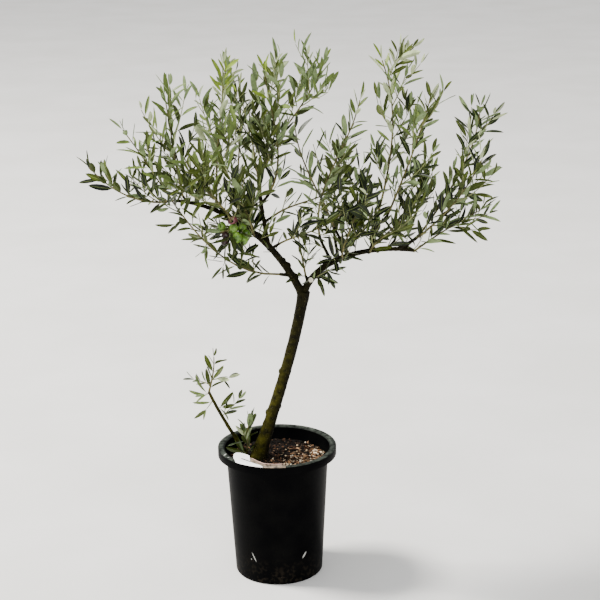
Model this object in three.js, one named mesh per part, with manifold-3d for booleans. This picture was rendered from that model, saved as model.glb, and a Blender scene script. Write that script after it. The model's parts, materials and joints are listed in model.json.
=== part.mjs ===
// A young olive tree in a black nursery pot, with two suckers at its foot and a plant label on the rim.
// Millimetres and degrees, +Z up, origin at the centre of the pot's flat underside. Headings are turned
// in the ground plane from +X towards +Y, and slopes are measured up from level.
import * as THREE from "three";
import { mergeVertices } from "three/addons/utils/BufferGeometryUtils.js";
import Module from "manifold-3d";

const wasm = await Module();
wasm.setup();

// ---- Driving dimensions ------------------------------------------------------------------------------

const GAP = 0.3; // between pieces that touch

const POT = {
  height: 268,
  rimRadius: 119.5,
  mouthRadius: 106,
  skirt: 17,
  flareDrop: 6,
  neckRadius: 102.4,
  baseRadius: 88.5,
  footRadius: 85.5,
  footBevel: 3,
  wall: 2.2,
  edge: 1.6,
  drains: 6,
  drainRadius: 7,
  drainRing: 62,
  segments: 32,
};
const FLARE_TOP = POT.height - POT.flareDrop;
const NECK = FLARE_TOP - POT.skirt;

const SOIL = {
  top: 243,
  levelRadius: 84,
  sinkAtWall: 3,
};

// A plastic tag that hooks over the front of the rim: a broad head on the left and a narrow tail.
const LABEL = {
  thick: 1.1,
  slope: 9,
  lip: 4,
  from: -140,
  to: -83,
  headWidth: 31,
  headAngle: 17,
  headRadius: 9,
  tailWidth: 14,
  slotWidth: 1.6,
  slotAngle: 9,
  spare: 8,
  segments: 54,
};

// Radii along the trunk: root flare, clean stem, and the swelling under the fork.
const TRUNK_RADII = [
  [0, 17.5],
  [0.06, 14.8],
  [0.15, 12.6],
  [0.28, 11],
  [0.55, 10.2],
  [0.88, 10.2],
  [1, 11.6],
];

const LIMB = { sides: 6, stepLength: 28, fewestSteps: 2, rootedDepth: 10 };
const SIDES_OF = { trunk: 12, left_bough: 9, right_bough: 9 };

// The radii that foliage keeps clear of beside the trunk, at its foot and its tip.
const TRUNK_ROOM = [14, 11.6];

// The share of its length for which a limb or stem runs on as it leaves and as it arrives.
const PULL = 0.35;

const TWIG = {
  sides: 3,
  stemSteps: 6,
  shootSteps: 3,
  fewestSteps: 2,
  stemRadius: 2.6,
  stemTip: 1.9,
  shootRadius: 1.2,
  shootTip: 1.1,
  bareShoot: 10,
  lift: 0.7,
  room: 2.8,
  turn: 2.4,
  turnVaries: 0.4,
  spreadVaries: 9,
  longest: 1.12,
  shortens: 0.55,
  lengths: [0.8, 1.2],
};

// The solid's leaves are fewer and larger than the tree's own, one at a time along each twig and two at
// its tip.
const LEAF = {
  length: 62,
  smallLength: 46,
  widthShare: 0.28,
  thickShare: 0.045,
  broadestAt: 0.45,
  rootDepth: 0.15,
  lastShare: 0.66,
  spacing: 35,
  skipped: 0.06,
  room: 0.9,
  apart: 9,
  offTwigs: 5,
  lengthsTried: [1, 0.7],
  lengths: [0.72, 1.15],
  spread: [30, 58],
  lastSpread: [10, 28],
  lift: [0.05, 0.4],
  turnVaries: 0.3,
  lean: 0.45,
  ribShares: [0.3, 0.65, 1],
  seeds: 97,
};

const FRUIT = {
  count: 9,
  radius: 8.6,
  halfLength: 10,
  hang: 7.6,
  apart: 16,
  room: 9.2,
  tries: 400,
  seeds: 89,
};

const FINISHES = {
  pot: { color: 0x101211, roughness: 0.45 },
  soil: { color: 0x4d3b2b, roughness: 0.95 },
  label: { color: 0xf1f1ec, roughness: 0.5 },
  trunk: { color: 0x4b4520, roughness: 0.8 },
  limb: { color: 0x3f3a20, roughness: 0.8 },
  foliage: { color: 0x5c6e38, roughness: 0.7 },
};

// ---- The plan of the tree ----------------------------------------------------------------------------

// A limb springs from its parent at a share of its length, or from a foot in the soil. Its tip lies at a
// heading, reach and rise from its base. Then come the slopes and the radii at its base and tip.
const limb = (from, at, [heading, reach, rise], slopes, radii) => (
  { from, at, heading, reach, rise, slopes, radii }
);
const rooted = (foot, tip, slopes, radii) => ({ ...limb("soil", 0, tip, slopes, radii), foot });

const LIMBS = {
  trunk: rooted([-42, -5], [3, 101.1, 358], [72, 80], [17, 11.6]),
  left_bough: limb("trunk", 0.97, [189, 247, 208], [68, 8], [7.6, 2.6]),
  right_bough: limb("trunk", 0.97, [-5, 217, 95], [78, -8], [6.8, 3.2]),
  low_left_branch: limb("left_bough", 0.15, [205, 26, 5], [0, 10], [3.2, 2.6]),
  left_riser: limb("left_bough", 0.38, [120, 24, 93], [80, 85], [4, 3.2]),
  left_inner_spur: limb("left_bough", 0.75, [80, 8, 24], [85, 88], [2.8, 2.4]),
  left_outer_spur: limb("left_bough", 0.92, [240, 18, 18], [50, 70], [2.4, 2]),
  left_front_spur: limb("left_bough", 0.63, [262, 44, 10], [20, 40], [2.8, 2.2]),
  left_back_spur: limb("left_bough", 0.56, [104, 36, 24], [50, 65], [3, 2.4]),
  left_heart_spur: limb("left_bough", 0.46, [258, 34, 12], [20, 55], [2.8, 2.2]),
  left_middle_spur: limb("left_riser", 0.45, [100, 30, 30], [50, 65], [2.8, 2.2]),
  left_peak_spur: limb("left_riser", 0.85, [-35, 24, 30], [45, 60], [2.6, 2.2]),
  inner_low_spur: limb("left_bough", 0.35, [-40, 22, 14], [30, 30], [2.8, 2.2]),
  inner_spur: limb("left_riser", 0.45, [22, 20, 12], [40, 30], [2.4, 2]),
  fruit_spur: limb("left_bough", 0.52, [235, 22, 8], [20, 0], [2.6, 2]),
  fork_spur: limb("right_bough", 0.13, [170, 6, 14], [70, 80], [2.6, 2.2]),
  pruned_stub: limb("right_bough", 0.17, [-95, 15, 2], [8, 8], [5, 4.8]),
  middle_riser: limb("right_bough", 0.38, [200, 24, 60], [75, 80], [3, 2.4]),
  whip_riser: limb("right_bough", 0.52, [162, 28, 56], [75, 68], [3, 2.4]),
  right_riser: limb("right_bough", 0.69, [53, 25, 70], [70, 85], [4, 3]),
  right_fork: limb("right_riser", 0.7, [-55, 36, 30], [35, 60], [2.8, 2.2]),
  right_heart_spur: limb("right_bough", 0.81, [60, 32, 14], [35, 45], [2.8, 2.2]),
  right_inner_spur: limb("right_bough", 0.65, [-78, 32, 8], [20, 45], [2.8, 2.2]),
  right_outer_spur: limb("right_bough", 0.92, [40, 50, 26], [40, 40], [3, 2.4]),
  right_side_spur: limb("right_bough", 0.88, [-40, 46, 30], [40, 38], [3, 2.4]),
  right_front_spur: limb("right_bough", 0.48, [-95, 42, 10], [15, 40], [2.8, 2.2]),
  right_back_spur: limb("right_bough", 0.44, [95, 70, 50], [45, 60], [3, 2.4]),
  sucker: rooted([-56, 20], [182, 78, 143], [57, 66], [3.8, 2.7]),
  small_sucker: rooted([-62, 9], [300, 4, 30], [84, 78], [1.9, 1.7]),
};

// A mass of foliage grows on from the tip of its limb: the heading, reach and rise of its stem's tip, the
// slope there, how many shoots it bears, their length, and the seed of their growth. Then what is its own.
const mass = (on, [heading, reach, rise], arrives, shoots, length, seed, own = {}) => ({
  on, heading, reach, rise, arrives, shoots, length, seed,
  bare: 0.12, low: 0.1, high: 0.86, spread: 42, lift: TWIG.lift, leaf: LEAF.length, fruits: 0,
  ...own,
});

const MASSES = {
  far_left: mass("left_bough", [190, 156, 73], 54, 2, 60, 7, { bare: 0.05, spread: 30, leaves: -10 }),
  low_left: mass("low_left_branch", [201, 302, 312], 55, 5, 110, 46, { leaves: 4, bare: 0.04, low: 0.25 }),
  left_outer: mass("left_outer_spur", [215, 32, 195], 80, 4, 110, 5),
  left_crest: mass("left_inner_spur", [64, 54, 245], 74, 4, 110, 8),
  left_front: mass("left_front_spur", [228, 118, 141], 65, 5, 110, 5),
  left_back: mass("left_back_spur", [88, 122, 175], 75, 5, 120, 12),
  left_heart: mass("left_heart_spur", [215, 42, 123], 80, 5, 100, 19, { bare: 0.05 }),
  left_middle: mass("left_middle_spur", [104, 84, 170], 80, 5, 110, 24),
  left_top: mass("left_riser", [4, 126, 256], 72, 6, 110, 5, { high: 0.9 }),
  left_peak: mass("left_peak_spur", [130, 14, 234], 80, 6, 110, 29),
  inner_low: mass("inner_low_spur", [-22, 127, 68], 45, 5, 80, 45),
  inner: mass("inner_spur", [22, 128, 40], 30, 3, 60, 47),
  fruiting: mass("fruit_spur", [196, 46, -6], -30, 4, 60, 9, { lift: -0.2, fruits: FRUIT.count }),
  fork: mass("fork_spur", [220, 18, 88], 80, 3, 50, 12, { leaf: LEAF.smallLength }),
  middle_crest: mass("middle_riser", [-5, 80, 262], 78, 2, 60, 41, { low: 0.15, high: 0.6 }),
  whip: mass("whip_riser", [150, 84, 200], 88, 2, 60, 16, { high: 0.5 }),
  right_leader: mass("right_riser", [20, 8, 296], 70, 6, 100, 40, { leaves: 74, arriving: 170, high: 0.92 }),
  right_crest: mass("right_fork", [-18, 80, 225], 75, 5, 110, 16),
  right_heart: mass("right_heart_spur", [30, 70, 104], 65, 6, 95, 23, { bare: 0.05 }),
  right_inner: mass("right_inner_spur", [-6, 84, 96], 65, 6, 100, 29, { bare: 0.05 }),
  right_outer: mass("right_outer_spur", [22, 126, 236], 86, 5, 110, 20),
  right_side: mass("right_side_spur", [-20, 124, 160], 66, 5, 95, 7),
  right_low: mass("right_bough", [-8, 124, 82], 30, 5, 75, 32, { leaves: 38, bare: 0.05 }),
  right_front: mass("right_front_spur", [-72, 96, 140], 70, 5, 110, 14, { bare: 0.05 }),
  right_back: mass("right_back_spur", [80, 104, 140], 80, 5, 110, 35),
  sucker_shoots: mass("sucker", [10, 12, 74], 92, 2, 30, 38, {
    leaves: 75, low: 0.02, high: 0.5, spread: 75, lift: -0.2, leaf: LEAF.smallLength,
  }),
  small_sucker_shoots: mass("small_sucker", [20, 4, 46], 65, 2, 30, 3, { leaf: LEAF.smallLength }),
};

// ---- Solids ------------------------------------------------------------------------------------------

// A closed geometry as a solid: shared corners merged, and triangles of no area left out.
function solid(geometry) {
  const bare = geometry.clone();
  bare.deleteAttribute("normal");
  bare.deleteAttribute("uv");
  const merged = mergeVertices(bare, 1e-4);
  const vertProperties = new Float32Array(merged.attributes.position.array);
  const faces = [];
  for (let i = 0; i < merged.index.count; i += 3) {
    const corners = [0, 1, 2].map((k) => merged.index.getX(i + k));
    if (new Set(corners).size === 3) faces.push(...corners);
  }
  const triVerts = new Uint32Array(faces);
  return new wasm.Manifold(new wasm.Mesh({ numProp: 3, vertProperties, triVerts }));
}

function largestPiece(body) {
  return body.decompose().reduce((best, piece) => (piece.volume() > best.volume() ? piece : best));
}

function namedMesh(name, body, finish) {
  const { vertProperties, triVerts } = body.getMesh();
  const geometry = new THREE.BufferGeometry();
  geometry.setAttribute("position", new THREE.BufferAttribute(vertProperties, 3));
  geometry.setIndex(new THREE.BufferAttribute(triVerts, 1));
  geometry.computeVertexNormals();
  const mesh = new THREE.Mesh(geometry, new THREE.MeshStandardMaterial({ ...finish, metalness: 0 }));
  mesh.name = name;
  return mesh;
}

// A round body from its outline in (radius, height), turned about Z.
function lathe(outline, segments = POT.segments) {
  const points = outline.map(([radius, height]) => new THREE.Vector2(radius, height));
  return new THREE.LatheGeometry(points, segments).rotateX(Math.PI / 2);
}

// A rod of changing radius through a row of points: a cylinder whose rings are set square to the row, or
// to the given directions at its two ends.
function rodThrough(points, radiusAt, sides, endAxes = []) {
  const steps = points.length - 1;
  const geometry = new THREE.CylinderGeometry(1, 1, 1, sides, steps);
  const rings = framesAlong(points, endAxes);
  const position = geometry.attributes.position;
  for (let i = 0; i < position.count; i += 1) {
    const ring = Math.round((position.getY(i) + 0.5) * steps);
    const radius = radiusAt(ring / steps);
    const point = points[ring].clone();
    point.addScaledVector(rings[ring].across, position.getX(i) * radius);
    point.addScaledVector(rings[ring].side, position.getZ(i) * radius);
    position.setXYZ(i, point.x, point.y, point.z);
  }
  return solid(geometry);
}

// At each point, two unit vectors square to the row, carried along it without a twist.
function framesAlong(points, [firstAxis, lastAxis]) {
  const last = points.length - 1;
  let side = null;
  return points.map((point, i) => {
    const chord = new THREE.Vector3().subVectors(points[Math.min(i + 1, last)], points[Math.max(i - 1, 0)]);
    const given = { 0: firstAxis, [last]: lastAxis }[i];
    const axis = given ?? chord.normalize();
    side = side ? side.clone().addScaledVector(axis, -side.dot(axis)).normalize() : squareTo(axis, 0);
    return { side, across: new THREE.Vector3().crossVectors(axis, side) };
  });
}

// The pot's inner wall at a height below the neck.
const innerRadius = (height) => THREE.MathUtils.mapLinear(
  height, POT.footBevel, NECK, POT.baseRadius - POT.wall, POT.neckRadius - POT.wall,
);

const taper = (from, to) => (share) => THREE.MathUtils.lerp(from, to, share);

function trunkRadius(share) {
  const next = TRUNK_RADII.findIndex(([at]) => at >= share);
  if (next <= 0) return TRUNK_RADII[0][1];
  const [fromShare, fromRadius] = TRUNK_RADII[next - 1];
  const [toShare, toRadius] = TRUNK_RADII[next];
  return THREE.MathUtils.mapLinear(share, fromShare, toShare, fromRadius, toRadius);
}

// ---- Directions and courses --------------------------------------------------------------------------

const UP = new THREE.Vector3(0, 0, 1);
const radians = THREE.MathUtils.degToRad;

function pointing(heading, slope) {
  const level = Math.cos(radians(slope));
  return new THREE.Vector3(
    Math.cos(radians(heading)) * level,
    Math.sin(radians(heading)) * level,
    Math.sin(radians(slope)),
  );
}

const stepTo = ({ heading, reach, rise }) => pointing(heading, 0).multiplyScalar(reach).setZ(rise);

function course(start, leaving, end, arriving) {
  const pull = start.distanceTo(end) * PULL;
  const afterStart = start.clone().addScaledVector(leaving, pull);
  const beforeEnd = end.clone().addScaledVector(arriving, -pull);
  return new THREE.CubicBezierCurve3(start, afterStart, beforeEnd, end);
}

// A unit vector square to an axis, turned about it.
function squareTo(axis, turn) {
  const side = new THREE.Vector3().crossVectors(axis, UP);
  if (side.lengthSq() > 0.01) side.normalize();
  else side.set(1, 0, 0);
  const other = new THREE.Vector3().crossVectors(side, axis);
  return side.multiplyScalar(Math.cos(turn)).addScaledVector(other, Math.sin(turn));
}

function seeded(seed) {
  let state = seed >>> 0;
  return (low = 0, high = 1) => {
    state = (state + 0x6d2b79f5) >>> 0;
    let mixed = Math.imul(state ^ (state >>> 15), state | 1);
    mixed ^= mixed + Math.imul(mixed ^ (mixed >>> 7), mixed | 61);
    return low + ((high - low) * ((mixed ^ (mixed >>> 14)) >>> 0)) / 4294967296;
  };
}

function layLimbs() {
  const courses = {};
  for (const [name, plan] of Object.entries(LIMBS)) {
    const start = plan.foot
      ? new THREE.Vector3(...plan.foot, SOIL.top - LIMB.rootedDepth)
      : courses[plan.from].getPoint(plan.at);
    const end = start.clone().add(stepTo(plan));
    const [leaves, arrives] = plan.slopes;
    courses[name] = course(start, pointing(plan.heading, leaves), end, pointing(plan.heading, arrives));
  }
  return courses;
}

function layStems(limbCourses) {
  const courses = {};
  for (const [name, plan] of Object.entries(MASSES)) {
    const parent = limbCourses[plan.on];
    const onward = parent.getTangent(1);
    const leaving = plan.leaves === undefined ? onward : pointing(plan.heading, plan.leaves);
    const tiltOfCut = TWIG.stemRadius * Math.sin(leaving.angleTo(onward));
    const start = parent.getPoint(1).addScaledVector(onward, GAP + tiltOfCut);
    const end = start.clone().add(stepTo(plan));
    const arriving = pointing(plan.arriving ?? plan.heading, plan.arrives);
    courses[name] = course(start, leaving, end, arriving);
  }
  return courses;
}

// ---- Room: each mass keeps nearer its own stem than any other, and clear of every limb ---------------

const ROD_STEPS = 8;

function rodsOf(courses, radiiOf, kind) {
  return Object.entries(courses).flatMap(([owner, curve]) => {
    const [base, tip] = radiiOf(owner);
    const points = Array.from({ length: ROD_STEPS + 1 }, (_, i) => curve.getPoint(i / ROD_STEPS));
    return points.slice(1).map((end, i) => ({
      owner,
      kind,
      line: new THREE.Line3(points[i], end),
      radius: THREE.MathUtils.lerp(base, tip, i / ROD_STEPS),
    }));
  });
}

function roomAround(rods) {
  const nearest = new THREE.Vector3();
  return (point, owner, margin) => {
    let own = Infinity;
    let other = Infinity;
    for (const rod of rods) {
      rod.line.closestPointToPoint(point, true, nearest);
      const distance = nearest.distanceTo(point);
      if (rod.kind === "limb" && distance - rod.radius < margin) return false;
      if (rod.kind === "stem" && rod.owner === owner) own = Math.min(own, distance);
      else if (rod.kind === "stem") other = Math.min(other, distance);
    }
    return own < other - margin;
  };
}

// ---- Growth ------------------------------------------------------------------------------------------

function twigOf(points, radii, bare, endAxes = []) {
  const lines = points.slice(1).map((end, i) => new THREE.Line3(points[i], end));
  return { points, lines, radii, bare, endAxes };
}

function growTwigs(name, plan, stem, hasRoom) {
  const draw = seeded(plan.seed);
  const vary = (amount) => draw(-amount, amount);
  const points = Array.from({ length: TWIG.stemSteps + 1 }, (_, i) => stem.getPoint(i / TWIG.stemSteps));
  const ends = [stem.getTangent(0), stem.getTangent(1)];
  const twigs = [twigOf(points, [TWIG.stemRadius, TWIG.stemTip], plan.bare * stem.getLength(), ends)];
  const firstTurn = draw(0, Math.PI);
  for (let i = 0; i < plan.shoots; i += 1) {
    const at = plan.low + ((plan.high - plan.low) * (i + 0.5 + vary(TWIG.turnVaries))) / plan.shoots;
    const axis = stem.getTangent(at);
    const side = squareTo(axis, firstTurn + TWIG.turn * i + vary(TWIG.turnVaries));
    const spread = radians(plan.spread + vary(TWIG.spreadVaries));
    const heading = axis.multiplyScalar(Math.cos(spread)).addScaledVector(side, Math.sin(spread));
    const length = plan.length * (TWIG.longest - TWIG.shortens * at) * draw(...TWIG.lengths);
    const shoot = [stem.getPoint(at)];
    for (let k = 0; k < TWIG.shootSteps; k += 1) {
      heading.addScaledVector(UP, plan.lift / TWIG.shootSteps).normalize();
      const next = shoot.at(-1).clone().addScaledVector(heading, length / TWIG.shootSteps);
      if (!hasRoom(next, name, TWIG.room)) break;
      shoot.push(next);
    }
    if (shoot.length > TWIG.fewestSteps) {
      twigs.push(twigOf(shoot, [TWIG.shootRadius, TWIG.shootTip], TWIG.bareShoot));
    }
  }
  return twigs;
}

// Distance along a twig's points, and the point and direction there.
function measured(points) {
  const lengths = points.slice(1).map((point, i) => point.distanceTo(points[i]));
  const total = lengths.reduce((sum, length) => sum + length, 0);
  const locate = (distance) => {
    let i = 0;
    let left = distance;
    while (i < lengths.length - 1 && left > lengths[i]) {
      left -= lengths[i];
      i += 1;
    }
    const axis = new THREE.Vector3().subVectors(points[i + 1], points[i]).normalize();
    return { point: points[i].clone().addScaledVector(axis, left), axis };
  };
  return { total, locate };
}

function placeLeaves(name, plan, twig, others, draw, hasRoom, placed) {
  const { total, locate } = measured(twig.points);
  const count = Math.max(1, Math.round((total - twig.bare) / LEAF.spacing));
  const firstTurn = draw(0, Math.PI);
  for (let k = 0; k <= count; k += 1) {
    const isLast = k === count;
    const { point, axis } = locate(Math.min(twig.bare + ((total - twig.bare) * k) / count, total - 0.01));
    for (let side = 0; side < (isLast ? 2 : 1); side += 1) {
      const turn = firstTurn + TWIG.turn * k + side * Math.PI + draw(-LEAF.turnVaries, LEAF.turnVaries);
      const spread = radians(isLast ? draw(...LEAF.lastSpread) : draw(...LEAF.spread));
      const lift = draw(...LEAF.lift);
      const length = plan.leaf * draw(...LEAF.lengths) * (isLast ? LEAF.lastShare : 1);
      const leans = draw(0, 2 * Math.PI);
      if (draw() < LEAF.skipped && !isLast) continue;
      const along = axis.clone().multiplyScalar(Math.cos(spread));
      along.addScaledVector(squareTo(axis, turn), Math.sin(spread)).addScaledVector(UP, lift).normalize();
      const leaf = LEAF.lengthsTried
        .map((share) => leafShape(point, along, axis, leans, length * share))
        .find(({ corners }) => corners.every((corner) => hasRoom(corner, name, LEAF.room)));
      if (leaf && isFree(leaf, placed, others)) placed.push(leaf);
    }
  }
}

// A leaf's rib stays off the leaves placed before it and off the other twigs of its mass.
function isFree(leaf, placed, otherTwigs) {
  const nearest = new THREE.Vector3();
  const meets = (line, point) => (
    line.closestPointToPoint(point, true, nearest).distanceTo(point) < LEAF.offTwigs
  );
  return leaf.rib.every((point) => (
    placed.every((other) => other.rib.every((place) => place.distanceTo(point) > LEAF.apart))
    && !otherTwigs.some((twig) => twig.lines.some((line) => meets(line, point)))
  ));
}

// A leaf's frame, and the corners of its blade: the tip, both edges and both faces.
function leafShape(point, along, axis, leans, length) {
  const face = axis.clone().addScaledVector(along, -axis.dot(along)).normalize();
  face.addScaledVector(squareTo(along, leans), LEAF.lean);
  face.addScaledVector(along, -face.dot(along)).normalize();
  const across = new THREE.Vector3().crossVectors(along, face);
  const root = point.clone().addScaledVector(along, -LEAF.rootDepth);
  const middle = root.clone().addScaledVector(along, length * LEAF.broadestAt);
  const width = (length * LEAF.widthShare) / 2;
  const thick = (length * LEAF.thickShare) / 2;
  const corners = [
    root.clone().addScaledVector(along, length),
    middle.clone().addScaledVector(across, width),
    middle.clone().addScaledVector(across, -width),
    middle.clone().addScaledVector(face, thick),
    middle.clone().addScaledVector(face, -thick),
  ];
  const rib = LEAF.ribShares.map((share) => root.clone().addScaledVector(along, length * share));
  return { root, middle, along, across, face, length, width, thick, corners, rib };
}

// An octahedron drawn out from root to tip, its belly at the broadest place.
function leafSolid(leaf) {
  const geometry = new THREE.OctahedronGeometry(1);
  const position = geometry.attributes.position;
  for (let i = 0; i < position.count; i += 1) {
    const y = position.getY(i);
    const reach = y > 0 ? leaf.length * (1 - LEAF.broadestAt) : leaf.length * LEAF.broadestAt;
    const point = leaf.middle.clone();
    point.addScaledVector(leaf.along, y * reach);
    point.addScaledVector(leaf.across, position.getX(i) * leaf.width);
    point.addScaledVector(leaf.face, position.getZ(i) * leaf.thick);
    position.setXYZ(i, point.x, point.y, point.z);
  }
  return solid(geometry);
}

function placeFruits(name, plan, twigs, draw, hasRoom) {
  const centres = [];
  for (let tries = 0; centres.length < plan.fruits && tries < FRUIT.tries; tries += 1) {
    const twig = twigs[Math.floor(draw(0, twigs.length))];
    const { total, locate } = measured(twig.points);
    const { point, axis } = locate(draw(0.1, 0.95) * total);
    const centre = point.addScaledVector(squareTo(axis, draw(0, 2 * Math.PI)), FRUIT.hang);
    const isFree = centres.every((other) => other.distanceTo(centre) > FRUIT.apart);
    if (isFree && hasRoom(centre, name, FRUIT.room)) centres.push(centre);
  }
  return centres;
}

function fruitSolid(centre) {
  const geometry = new THREE.SphereGeometry(FRUIT.radius, 6, 4).rotateX(Math.PI / 2);
  geometry.scale(1, 1, FRUIT.halfLength / FRUIT.radius).translate(centre.x, centre.y, centre.z);
  return solid(geometry);
}

// ---- The pieces --------------------------------------------------------------------------------------

// The wall leans out from the base to the neck, flares to the mouth, and turns over into a hanging skirt.
function makePot() {
  const { height, rimRadius, mouthRadius, skirt, neckRadius, baseRadius, footRadius, wall, edge } = POT;
  const shell = solid(lathe([
    [0, 0],
    [footRadius, 0],
    [baseRadius, POT.footBevel],
    [neckRadius, NECK],
    [mouthRadius + wall, FLARE_TOP],
    [mouthRadius + wall, height - wall],
    [rimRadius - wall, height - wall],
    [rimRadius - wall, height - skirt],
    [rimRadius, height - skirt],
    [rimRadius, height - edge],
    [rimRadius - edge, height],
    [mouthRadius + edge, height],
    [mouthRadius, height - edge],
    [mouthRadius, FLARE_TOP],
    [neckRadius - wall, NECK],
    [innerRadius(wall), wall],
    [0, wall],
  ]));
  let pot = shell;
  for (let i = 0; i < POT.drains; i += 1) {
    const turn = (2 * Math.PI * (i + 0.5)) / POT.drains;
    const drill = new THREE.CylinderGeometry(POT.drainRadius, POT.drainRadius, 6 * wall, 8);
    drill.rotateX(Math.PI / 2).translate(Math.cos(turn) * POT.drainRing, Math.sin(turn) * POT.drainRing, 0);
    pot = pot.subtract(solid(drill));
  }
  return pot;
}

function makeSoil() {
  const floor = POT.wall + GAP;
  const edgeTop = SOIL.top - SOIL.sinkAtWall;
  return solid(lathe([
    [0, floor],
    [innerRadius(floor) - GAP, floor],
    [innerRadius(edgeTop) - GAP, edgeTop],
    [SOIL.levelRadius, SOIL.top],
    [0, SOIL.top],
  ]));
}

// A sloping collar with a lip that hooks over the rim, cut to the tag's outline as seen from above.
function makeLabel() {
  const { thick, slope, lip, headWidth, tailWidth, spare } = LABEL;
  const seat = POT.height + GAP;
  const edge = POT.rimRadius + GAP;
  const inner = edge - headWidth - spare;
  const climb = (edge - inner) * Math.tan(radians(slope));
  const collar = solid(lathe([
    [inner, seat + climb],
    [edge, seat],
    [edge, seat - lip],
    [edge + thick, seat - lip],
    [edge + thick, seat + thick],
    [inner, seat + climb + thick],
    [inner, seat + climb],
  ], LABEL.segments));
  const outline = labelOutline(edge + spare, edge - headWidth, edge - tailWidth);
  const depth = climb + lip + 2 * spare;
  const cutter = new THREE.ExtrudeGeometry(outline, { depth, bevelEnabled: false, curveSegments: 5 });
  return largestPiece(collar.intersect(solid(cutter.translate(0, 0, seat - lip - spare))));
}

function labelOutline(outer, headEdge, tailEdge) {
  const { from, to, headAngle, headRadius, slotWidth, slotAngle } = LABEL;
  const at = (radius, angle) => [Math.cos(radians(angle)) * radius, Math.sin(radians(angle)) * radius];
  const corner = THREE.MathUtils.radToDeg(headRadius / headEdge);
  const outline = new THREE.Shape();
  outline.moveTo(...at(outer, to));
  outline.absarc(0, 0, outer, radians(to), radians(from), true);
  outline.lineTo(...at(headEdge + headRadius, from));
  outline.quadraticCurveTo(...at(headEdge, from), ...at(headEdge, from + corner));
  outline.lineTo(...at(headEdge, from + headAngle));
  outline.lineTo(...at(tailEdge, from + headAngle + 3));
  outline.absarc(0, 0, tailEdge, radians(from + headAngle + 3), radians(to), false);
  const middle = (headEdge + POT.rimRadius) / 2;
  const start = radians(from + headAngle - slotAngle);
  const end = radians(from + headAngle + 1);
  const slot = new THREE.Path();
  slot.absarc(0, 0, middle + slotWidth, start, end, false);
  slot.absarc(0, 0, middle, end, start, true);
  outline.holes.push(slot);
  return outline;
}

// Each limb is cut clear of its parent and of the limbs made before it.
function makeLimbs(courses) {
  const sleeves = [];
  const limbs = {};
  for (const [name, plan] of Object.entries(LIMBS)) {
    const sides = SIDES_OF[name] ?? LIMB.sides;
    const radiusAt = name === "trunk" ? trunkRadius : taper(...plan.radii);
    const steps = Math.max(LIMB.fewestSteps, Math.round(courses[name].getLength() / LIMB.stepLength));
    const points = courses[name].getSpacedPoints(steps);
    const endAxes = [courses[name].getTangent(0), courses[name].getTangent(1)];
    let body = rodThrough(points, radiusAt, sides, endAxes);
    if (plan.foot) body = body.trimByPlane([0, 0, 1], SOIL.top + GAP);
    for (const sleeve of sleeves) body = body.subtract(sleeve);
    limbs[name] = largestPiece(body);
    const past = points.at(-1).clone().addScaledVector(endAxes[1], GAP);
    const sleeveRadius = (share) => radiusAt(share) + GAP;
    sleeves.push(rodThrough([...points.slice(0, -1), past], sleeveRadius, sides, endAxes));
  }
  return limbs;
}

function makeMass(name, plan, stem, hasRoom) {
  const twigs = growTwigs(name, plan, stem, hasRoom);
  const parts = twigs.map((twig) => rodThrough(twig.points, taper(...twig.radii), TWIG.sides, twig.endAxes));
  const fruits = placeFruits(name, plan, twigs, seeded(plan.seed * FRUIT.seeds), hasRoom);
  parts.push(...fruits.map(fruitSolid));
  const leaves = [];
  twigs.forEach((twig, i) => {
    const others = twigs.filter((other) => other !== twig);
    placeLeaves(name, plan, twig, others, seeded(plan.seed * LEAF.seeds + i), hasRoom, leaves);
  });
  parts.push(...leaves.map(leafSolid));
  return largestPiece(wasm.Manifold.union(parts));
}

// ---- The tree ----------------------------------------------------------------------------------------

const limbCourses = layLimbs();
const stemCourses = layStems(limbCourses);
const limbRadii = (name) => (name === "trunk" ? TRUNK_ROOM : LIMBS[name].radii);
const rods = [
  ...rodsOf(limbCourses, limbRadii, "limb"),
  ...rodsOf(stemCourses, () => [TWIG.stemRadius, TWIG.stemTip], "stem"),
];
const hasRoom = roomAround(rods);

const tree = new THREE.Group();
tree.add(namedMesh("pot", makePot(), FINISHES.pot));
tree.add(namedMesh("soil", makeSoil(), FINISHES.soil));
tree.add(namedMesh("plant_label", makeLabel(), FINISHES.label));
for (const [name, body] of Object.entries(makeLimbs(limbCourses))) {
  tree.add(namedMesh(name, body, name === "trunk" ? FINISHES.trunk : FINISHES.limb));
}
for (const [name, plan] of Object.entries(MASSES)) {
  const body = makeMass(name, plan, stemCourses[name], hasRoom);
  tree.add(namedMesh(`foliage_${name}`, body, FINISHES.foliage));
}

export default tree;
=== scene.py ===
# %% [markdown]
# # A potted olive tree
# A young olive stands in a black nursery pot: a leaning stem, a fork, two boughs under a thin open crown, a
# bunch of fruit and two suckers at the foot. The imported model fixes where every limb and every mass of
# foliage is. This lesson dresses it: a turned pot, loose potting mix, bark with relief, and leaves that grow
# by the same seeded rule as the solids, carried on to finer twigs.

# %% Load the frame
import json
import math

import bpy
import numpy as np
from mathutils import Matrix, Vector, noise

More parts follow.
